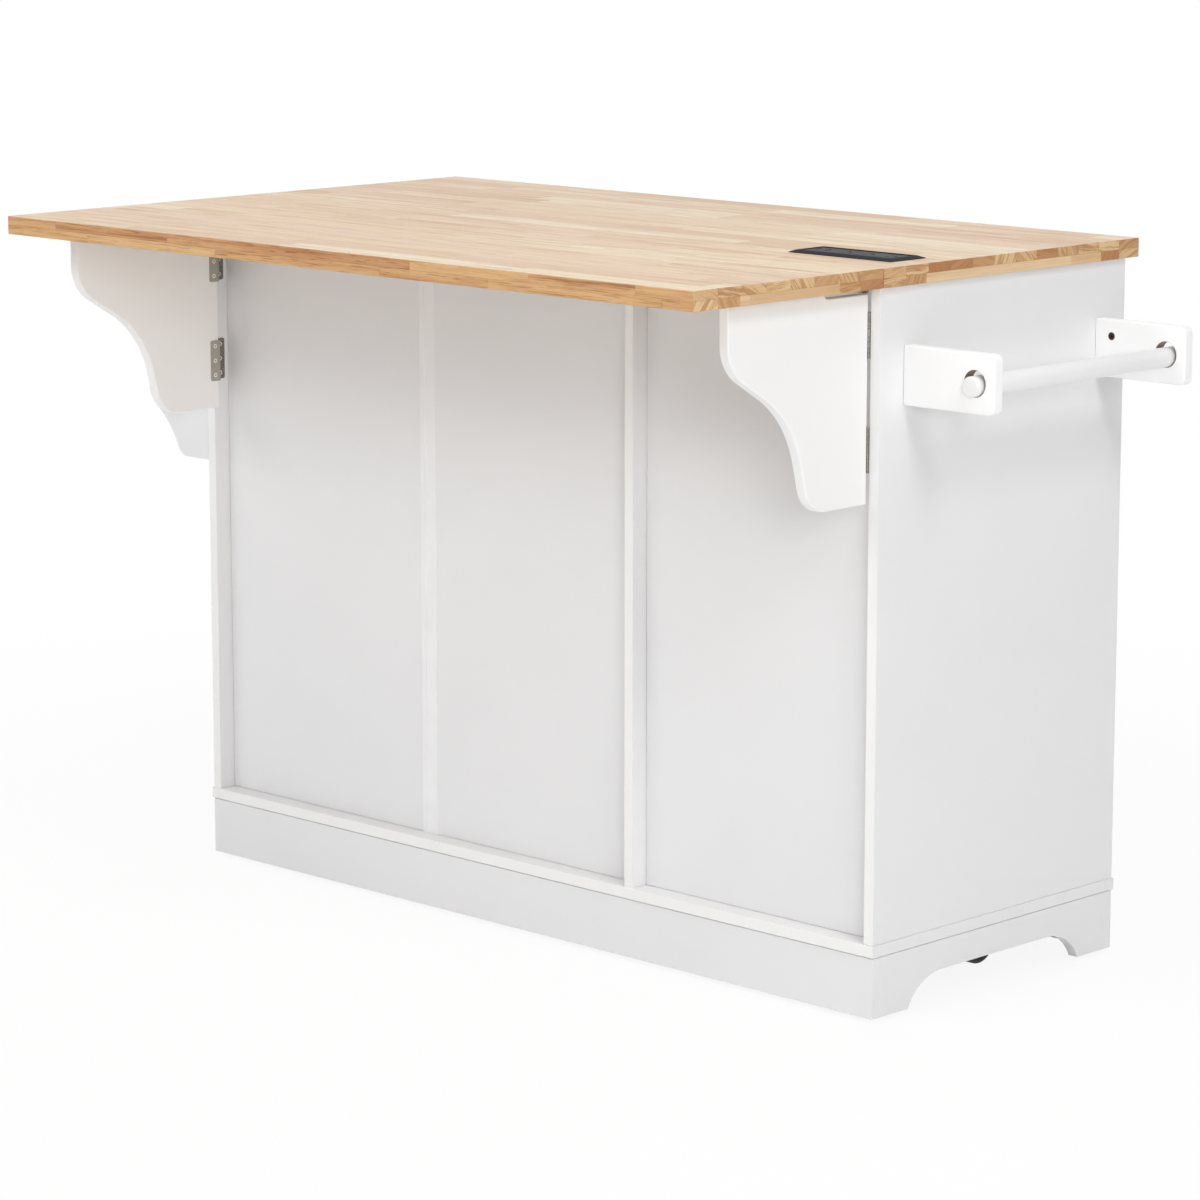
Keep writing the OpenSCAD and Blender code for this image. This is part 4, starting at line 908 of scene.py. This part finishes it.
class ISLAND_OT_hinges(bpy.types.Operator):
    """The hinges' plates, and their screws with cross recesses"""

    bl_idname = "island.hinges"
    bl_label = "Hinges and screws"

    def execute(self, context):
        refinish("hinge", "bracket_hinge_wall_plates", "door_hinge_wall_plates", "hinge_pins",
                 "leaf_hinge_short_plates", "leaf_hinge_long_plates", "bracket_right_hinges",
                 "bracket_left_hinges", "door_left_hinges", "door_right_hinges")
        plate_low, plate_high = low_high("bracket_hinge_wall_plates")
        heights = [z + dz for z in (plate_low[2], plate_high[2] - HINGE_H)
                   for dz in (8 * MM, 28 * MM, 48 * MM)]
        wall_y = FAR_LOW[1] + 10.3 * MM
        inner = ((FAR_HIGH[0], 1), (PANEL_LOW[0], -1))
        walls = [((x + way * PLATE_T, wall_y, z), (way, 0, 0)) for x, way in inner for z in heights]
        door_low, door_high = low_high("door_hinge_wall_plates")
        door_z = [z + dz for z in (door_low[2], door_high[2] - HINGE_H) for dz in (12 * MM, 44 * MM)]
        door_walls = ((FAR_HIGH[0], 1), (low_high("partition")[0][0], -1))
        walls += [((x + way * 1.15 * MM, FAR_HIGH[1] - 7.5 * MM, z), (way, 0, 0))
                  for x, way in door_walls for z in door_z]
        plate_z = UNDER_Z - 1.5 * MM
        hinge_x = [FAR_HIGH[0] + 21 * MM, (FAR_LOW[0] + PANEL_HIGH[0]) / 2, PANEL_LOW[0] - 21 * MM]
        short = [((x + dx, SEAM_Y + dy, plate_z), (0, 0, -1)) for x in hinge_x
                 for dx, dy in ((-12 * MM, 17 * MM), (0, 11 * MM), (12 * MM, 17 * MM))]
        long = [((x + dx, SEAM_Y - dy, plate_z), (0, 0, -1)) for x in hinge_x
                for dx, dy in ((-10 * MM, 16 * MM), (0, 34 * MM), (10 * MM, 54 * MM))]
        self.screws("fixed_plate_screws", walls + short, "root", ["hinge_screws"])
        self.screws("leaf_plate_screws", long, "leaf", [])
        for side, (x, way) in zip(("left", "right"), inner):
            low, high = low_high("bracket_" + side)
            rear = [((x + way * (high[0] - low[0] + PLATE_T), high[1] - 7.5 * MM, z), (way, 0, 0))
                    for z in heights]
            self.screws(f"bracket_{side}_plate_screws", rear, "bracket_" + side[0], [])
        return {"FINISHED"}

    def screws(self, name, seats, body, nodes):
        shell, shade = cross_screws(seats, 0.05 * MM, 3.0 * MM, 11 * MM)
        add_piece(name, shell, "screw", body, nodes, even=False, shade=shade)


class ISLAND_OT_fronts(bpy.types.Operator):
    """Doors and drawer fronts with a sunk field, the drawers' boxes and the knobs"""

    bl_idname = "island.fronts"
    bl_label = "Doors and drawers"

    def execute(self, context):
        ease = context.scene.island_paint.ease
        fronts = {"door_left": "door_l", "door_right": "door_r", "drawer_top_front": "drawer_top",
                  "drawer_middle_front": "drawer_middle", "drawer_bottom_front": "drawer_bottom"}
        for node, body in fronts.items():
            add_piece(node + "_board", self.sunk_front(*low_high(node), ease), "board", body,
                      [node])
            if "drawer" in node:
                refinish("inner", body + "_box")
            self.knob(body if "drawer" in node else node, body)
        return {"FINISHED"}

    def sunk_front(self, low, high, ease):
        """Rectangles stacked from the back of the front to its face, then inwards over the
        frame, down a rounded step and across the field."""
        frame_w, sink, depth, soft = 55 * MM, 4 * MM, high[1] - low[1], 0.9 * MM
        levels = [(h, d, max(ease - d, ease * 0.1)) for h, d in ease_profile(depth, ease)]
        t, tight = np.linspace(0, math.pi / 2, 4), 0.4 * MM
        levels += [(depth - soft * (1 - math.cos(a)), frame_w - soft + soft * math.sin(a), tight)
                   for a in t]
        levels += [(depth - sink + soft * (1 - math.sin(a)), frame_w + soft * (1 - math.cos(a)), tight)
                   for a in t]
        return stacked([on_axes(round_rectangle(low[[0, 2]] + d, high[[0, 2]] - d, r), h,
                                (0, low[1], 0), *FACING_Y) for h, d, r in levels])

    def knob(self, owner, body):
        """A mushroom knob turned about Y: foot, hollow neck and a full round head, and its
        screw's head at the back."""
        node = owner + "_knob"
        low, high = low_high(node)
        centre = ((low[0] + high[0]) / 2, high[1] - 26 * MM, (low[2] + high[2]) / 2)
        profile = np.concatenate([
            [(0.4, 0.0), (8.3, 0.0), (8.5, 0.3), (8.5, 1.6), (8.2, 2.0)],
            arc((10.2, 6.4), 4.7, 250, 180, 10),
            [(5.5, 11.0), (5.8, 13.0), (7.0, 15.2)], arc((9.6, 20.3), 4.4, -62, 62, 14),
            [(9.6, 25.0), (6.5, 25.7), (3.0, 25.95), (0.3, 26.0)]]) * MM
        screw = np.array([(0.3, -17.5), (3.6, -17.5), (4.0, -17.1), (4.0, -15.1), (2.0, -15.0),
                          (2.0, 0.5), (0.3, 0.5)]) * MM
        shell = together(turned(profile, centre, (0, 1, 0), 64),
                         turned(screw, centre, (0, 1, 0), 24))
        add_piece(node + "_turned", shell, "nickel", body, [node], crease=50, even=False)


class ISLAND_OT_towel_rack(bpy.types.Operator):
    """Two rack plates with a round hole each, their cams and the towel bar"""

    bl_idname = "island.towel_rack"
    bl_label = "Towel rack"

    def execute(self, context):
        ease = context.scene.island_paint.scroll_ease
        low, high = low_high("rack_plates")
        thick = 16 * MM
        bar_low, bar_high = low_high("towel_bar")
        hole = np.array([(bar_low[0] + bar_high[0]) / 2, (low[2] + high[2]) / 2])
        plates = together(*[self.plate(low, high, y, thick, hole, ease)
                            for y in (low[1], high[1] - thick)])
        # the hole's wall: raw wood, darkened with painted shade
        bare_wood_and_shade = np.linalg.norm(plates[0][:, [0, 2]] - hole, axis=1) < 16.4 * MM
        add_piece("holed_rack_plates", plates, "rack", "root", ["rack_plates"],
                  shade=bare_wood_and_shade)
        seats = [((low[0] + 26 * MM, y, (low[2] + high[2]) / 2 + dz), (0, way, 0))
                 for y, way in ((low[1] + thick, 1), (high[1] - thick, -1))
                 for dz in (-15.5 * MM, 15.5 * MM)]
        # the cams' dark colour and recesses are painted shade of their holes
        cams, shade = cross_screws(seats, 0.2 * MM, 5 * MM, 8 * MM, 0.03, 0.02)
        add_piece("cam_locks", cams, "cam", "root", ["rack_cams"], even=False,
                  shade=shade)
        length, r = bar_high[1] - bar_low[1], (bar_high[0] - bar_low[0]) / 2
        round_r, centre_r = 2.2 * MM, 0.4 * MM
        end = arc((r - round_r, round_r), round_r, -90, 0, 6)
        other_end = (end * (1, -1) + (0, length))[::-1]
        profile = np.concatenate([[(centre_r, 0)], end, other_end, [(centre_r, length)]])
        middle = (hole[0], bar_low[1], (bar_low[2] + bar_high[2]) / 2)
        add_piece("round_towel_bar", turned(profile, middle, (0, 1, 0), 72), "bar",
                  "bar", ["towel_bar"], even=False)
        return {"FINISHED"}

    def plate(self, low, high, y, thick, hole, ease):
        """A plate as a ring that goes once round: from each point of the outline inwards over
        the rounded arris to the point of the hole at the same angle, through the hole and
        back outwards."""
        flat_low, flat_high = low[[0, 2]], high[[0, 2]]
        r, inner_ease, hole_r = 9 * MM, 1.2 * MM, 16 * MM
        steps = np.linspace(0, 1, 12)[1:-1, None]
        outer = [arc((flat_high[0] - r, flat_high[1] - r), r, 0, 90, 14),
                 arc((flat_low[0] + ease, flat_high[1] - ease), ease, 90, 180, 3),
                 arc((flat_low[0] + ease, flat_low[1] + ease), ease, 180, 270, 3),
                 arc((flat_high[0] - r, flat_low[1] + r), r, 270, 360, 14)]
        filled = []
        for k, part in enumerate(outer):
            after = outer[(k + 1) % 4][0]
            filled += [part, part[-1] + steps * (after - part[-1])]
        outline = np.concatenate(filled)
        angle = np.arctan2(outline[:, 1] - hole[1], outline[:, 0] - hole[0])
        way = np.stack([np.cos(angle), np.sin(angle)], 1)
        rings = [(drawn_in(outline, d), h) for h, d in ease_profile(thick, ease, 6)]
        rings += [(hole + way * (hole_r + d), h)
                  for h, d in ease_profile(thick, inner_ease, 5)[::-1]]
        return stacked([on_axes(flat, h, (0, y, 0), *FACING_Y) for flat, h in rings], joined=True)


class ISLAND_OT_spice_rack(bpy.types.Operator):
    """The spice rack at the other end: side boards, shelves and guard rails"""

    bl_idname = "island.spice_rack"
    bl_label = "Spice rack"

    def execute(self, context):
        ease = context.scene.island_paint.ease
        low, high = low_high("spice_side_boards")
        parts = scrolled(high[0] - low[0], high[2] - low[2], nose_z=97 * MM, nose_r=38 * MM,
                         slope_top=35, slope_l=0, cove_r=135 * MM, slope_low=65, heel_r=20 * MM)
        outline = against_clock(np.concatenate([[(0, 0), (0, high[2] - low[2])], *parts]))
        keep = np.linalg.norm(outline - np.roll(outline, 1, 0), axis=1) > 1e-6
        sides = [cut_board(outline[keep], BOARD_T, 1.4 * MM, (high[0], y, low[2]),
                           (-1, 0, 0), (0, 0, 1), (0, 1, 0)) for y in (low[1], high[1] - BOARD_T)]
        add_piece("spice_sides", together(*sides), "board",
                  "root", ["spice_side_boards"])
        for node, thick in (("spice_shelves", 12 * MM), ("spice_guard_rails", 30 * MM)):
            low, high = low_high(node)
            tiers = together(eased_board(low, (high[0], high[1], low[2] + thick), ease),
                             eased_board((low[0], low[1], high[2] - thick), high, ease))
            add_piece(node + "_boards", tiers, "board", "root", [node])
        return {"FINISHED"}


class ISLAND_OT_power_strip(bpy.types.Operator):
    """The power strip in the worktop"""

    bl_idname = "island.power_strip"
    bl_label = "Power strip"

    def execute(self, context):
        low, high = low_high("power_strip_case")
        inner_low, inner_high = low_high("power_strip_sockets")
        top, z0 = high[2], TOP_HIGH[2]
        wall, play, bevel, soft = 9 * MM, 0.1 * MM, 7 * MM, 1.2 * MM
        outside = [((low[2] + 4 * MM), wall, 2 * MM), (z0, wall, 2 * MM), (z0, 0.3 * MM, 1.5 * MM),
                   (z0 + 0.3 * MM, 0, 1.5 * MM), (z0 + 0.9 * MM, 0.1 * MM, 1.5 * MM)]
        outside += [(z0 + 0.9 * MM + (top - z0 - 1.2 * MM) * k, 0.4 * MM + (bevel - 1.0 * MM) * k,
                     2.2 * MM) for k in np.linspace(0, 1, 5)]
        outside += [(top - 0.08 * MM, bevel + 0.2 * MM, 2.4 * MM), (top, bevel + soft, 2.5 * MM)]
        rings = [(round_rectangle(low[:2] + d, high[:2] - d, r, 5), z) for z, d, r in outside]
        rings += [(round_rectangle(inner_low[:2] - play, inner_high[:2] + play, 0.5 * MM, 5), z)
                  for z in (top, z0 - 20 * MM)]
        case = stacked([on_axes(flat, z, (0, 0, 0), *LYING) for flat, z in rings])
        gland = turned(np.array([(4.0, 0), (6.0, 0), (6.0, 4.5), (4.0, 4.5)]) * MM,
                       (low[0] + 30 * MM, (low[1] + high[1]) / 2, low[2]), (0, 0, 1), 32)
        add_piece("power_strip_body", together(case, gland), "black", "root",
                  ["power_strip_case"])
        refinish("insert", "power_strip_sockets")
        return {"FINISHED"}


class ISLAND_OT_casters(bpy.types.Operator):
    """Wheels of the four hidden casters, with their plates, forks and pedals"""

    bl_idname = "island.casters"
    bl_label = "Casters"

    def execute(self, context):
        forks = [f"caster_fork_{i}" for i in range(1, 5)]
        refinish("zinc", "caster_plates", "caster_screws", *forks)
        refinish("black", "brake_pedal_1", "brake_pedal_2")
        r, half, bore, edge, dish = 30, 11, 4.05, 4, 2.5
        side = np.concatenate([[(bore, -half), (9.6, -half), (10.2, -half + 0.4), (12, -half + dish),
                                (21, -half + dish), (23.4, -half + 0.3), (24.2, -half)],
                               arc((r - edge, edge - half), edge, -90, 0, 8)])
        crown = np.array([(r - 0.02, -4), (r, 0), (r - 0.02, 4)])
        profile = np.concatenate([side, crown, (side * (1, -1))[::-1]]) * MM
        for i in range(1, 5):
            node = f"caster_wheel_{i}"
            low, high = low_high(node)
            tyre = turned(profile, (low + high) / 2, (1, 0, 0), 72, joined=True)
            add_piece(node + "_tyre", tyre, "rubber", f"wheel_{i}", [node],
                      crease=40, even=False)
        return {"FINISHED"}


class ISLAND_OT_stage(bpy.types.Operator):
    """The floor, the soft lamps, the sky and the camera"""

    bl_idname = "island.stage"
    bl_label = "Studio"

    def execute(self, context):
        look = context.scene.island_stage
        self.floor(look)
        self.sky(context, look)
        for name, place, wide, tall, share in LAMPS:
            light = bpy.data.lights.new(name, "AREA")
            light.shape, light.size, light.size_y = "RECTANGLE", wide, tall
            light.energy = look.key * share
            lamp = in_scene(name, light)
            self.aim(lamp, place, LAMPS_TARGET)
            lamp.visible_glossy = "fill" not in name
        camera = in_scene("photo_camera", bpy.data.cameras.new("photo_camera"))
        camera.data.sensor_width, camera.data.lens = CAMERA_SENSOR, CAMERA_LENS
        camera.location = CAMERA_PLACE
        camera.rotation_euler = (CAMERA_PITCH, 0, CAMERA_TURN)
        context.scene.camera = camera
        context.scene.view_settings.view_transform = "Standard"
        return {"FINISHED"}

    def aim(self, thing, place, target):
        """Turns a lamp's -Z towards a point: pitch from its height over the distance on the
        floor, turn from the direction on the floor."""
        d = np.array(target, float) - np.array(place, float)
        thing.location = place
        pitch = math.atan2(math.hypot(d[0], d[1]), -d[2])
        thing.rotation_euler = (pitch, 0, math.atan2(-d[0], d[1]))

    def floor(self, look):
        """A flat floor that shows white, less a soft share of the object's shadow near it."""
        mesh = bpy.data.meshes.new("floor")
        u, v = np.meshgrid(np.linspace(-9, 9, 5), np.linspace(-9, 9, 5), indexing="ij")
        points = np.stack([u, v, 0 * u], -1).reshape(-1, 3)
        k, i = np.meshgrid(np.arange(4), np.arange(4), indexing="ij")
        quads = np.stack([k * 5 + i, k * 5 + 5 + i, k * 5 + 6 + i, k * 5 + 1 + i], -1).reshape(-1, 4)
        mesh.from_pydata(points.tolist(), [], quads.tolist())
        floor = in_scene("floor", mesh)
        paint = Finish("studio_floor", Roughness=0.9, Base_Color=opaque(look.floor))
        x, y, _ = paint.place()
        afar = paint.step(paint.maths("SQRT", x * x + y * y), 1.0, 2.6)
        glow = paint.add("ShaderNodeEmission", None, {"Color": (1, 1, 1, 1), "Strength": 1.0})
        lit = Reading(paint, paint.surface.outputs["BSDF"])
        mixed = paint.add("ShaderNodeMixShader", None, {
            0: paint.seen() * (0.9 + 0.1 * afar), 1: lit, 2: glow["Emission"]})["Shader"]
        paint.put(paint.tree.nodes["Material Output"].inputs["Surface"], mixed)
        mesh.materials.append(paint.material)

    def sky(self, context, look):
        """Even light from all round, which looks white where it is seen."""
        world = bpy.data.worlds.new("studio_sky")
        world.use_nodes = True
        context.scene.world = world
        sky = Shader(world.node_tree)
        colour = sky.blend(sky.seen(), opaque([look.sky] * 3), (1.0, 1.0, 1.0, 1.0))
        sky.put(sky.tree.nodes["Background"].inputs["Color"], colour)


class ISLAND_PT_panel(bpy.types.Panel):
    """Lists the steps that dress the island"""

    bl_idname = "ISLAND_PT_panel"
    bl_label = "Kitchen Island"
    bl_space_type = "VIEW_3D"
    bl_region_type = "UI"
    bl_category = "Island"

    def draw(self, context):
        for look in LOOKS:
            group, box = getattr(context.scene, look), self.layout.box()
            for name in group.__annotations__:
                box.prop(group, name)
        for step in STEPS:
            self.layout.operator(step.bl_idname)


LOOKS = {"island_wood": WoodLook, "island_paint": PaintLook, "island_metal": MetalLook,
         "island_stage": StageLook}
STEPS = (ISLAND_OT_stage, ISLAND_OT_worktop, ISLAND_OT_carcass, ISLAND_OT_brackets, ISLAND_OT_hinges,
         ISLAND_OT_fronts, ISLAND_OT_towel_rack, ISLAND_OT_spice_rack, ISLAND_OT_power_strip,
         ISLAND_OT_casters)


def register():
    for part in (*LOOKS.values(), *STEPS, ISLAND_PT_panel):
        bpy.utils.register_class(part)
    for name, look in LOOKS.items():
        setattr(bpy.types.Scene, name, PointerProperty(type=look))


def unregister():
    for name in LOOKS:
        delattr(bpy.types.Scene, name)
    for part in reversed((*LOOKS.values(), *STEPS, ISLAND_PT_panel)):
        bpy.utils.unregister_class(part)


def main():
    register()
    bpy.ops.island.stage()
    bpy.ops.island.worktop()
    bpy.ops.island.carcass()
    bpy.ops.island.brackets()
    bpy.ops.island.hinges()
    bpy.ops.island.fronts()
    bpy.ops.island.towel_rack()
    bpy.ops.island.spice_rack()
    bpy.ops.island.power_strip()
    bpy.ops.island.casters()


if __name__ == "__main__":
    main()
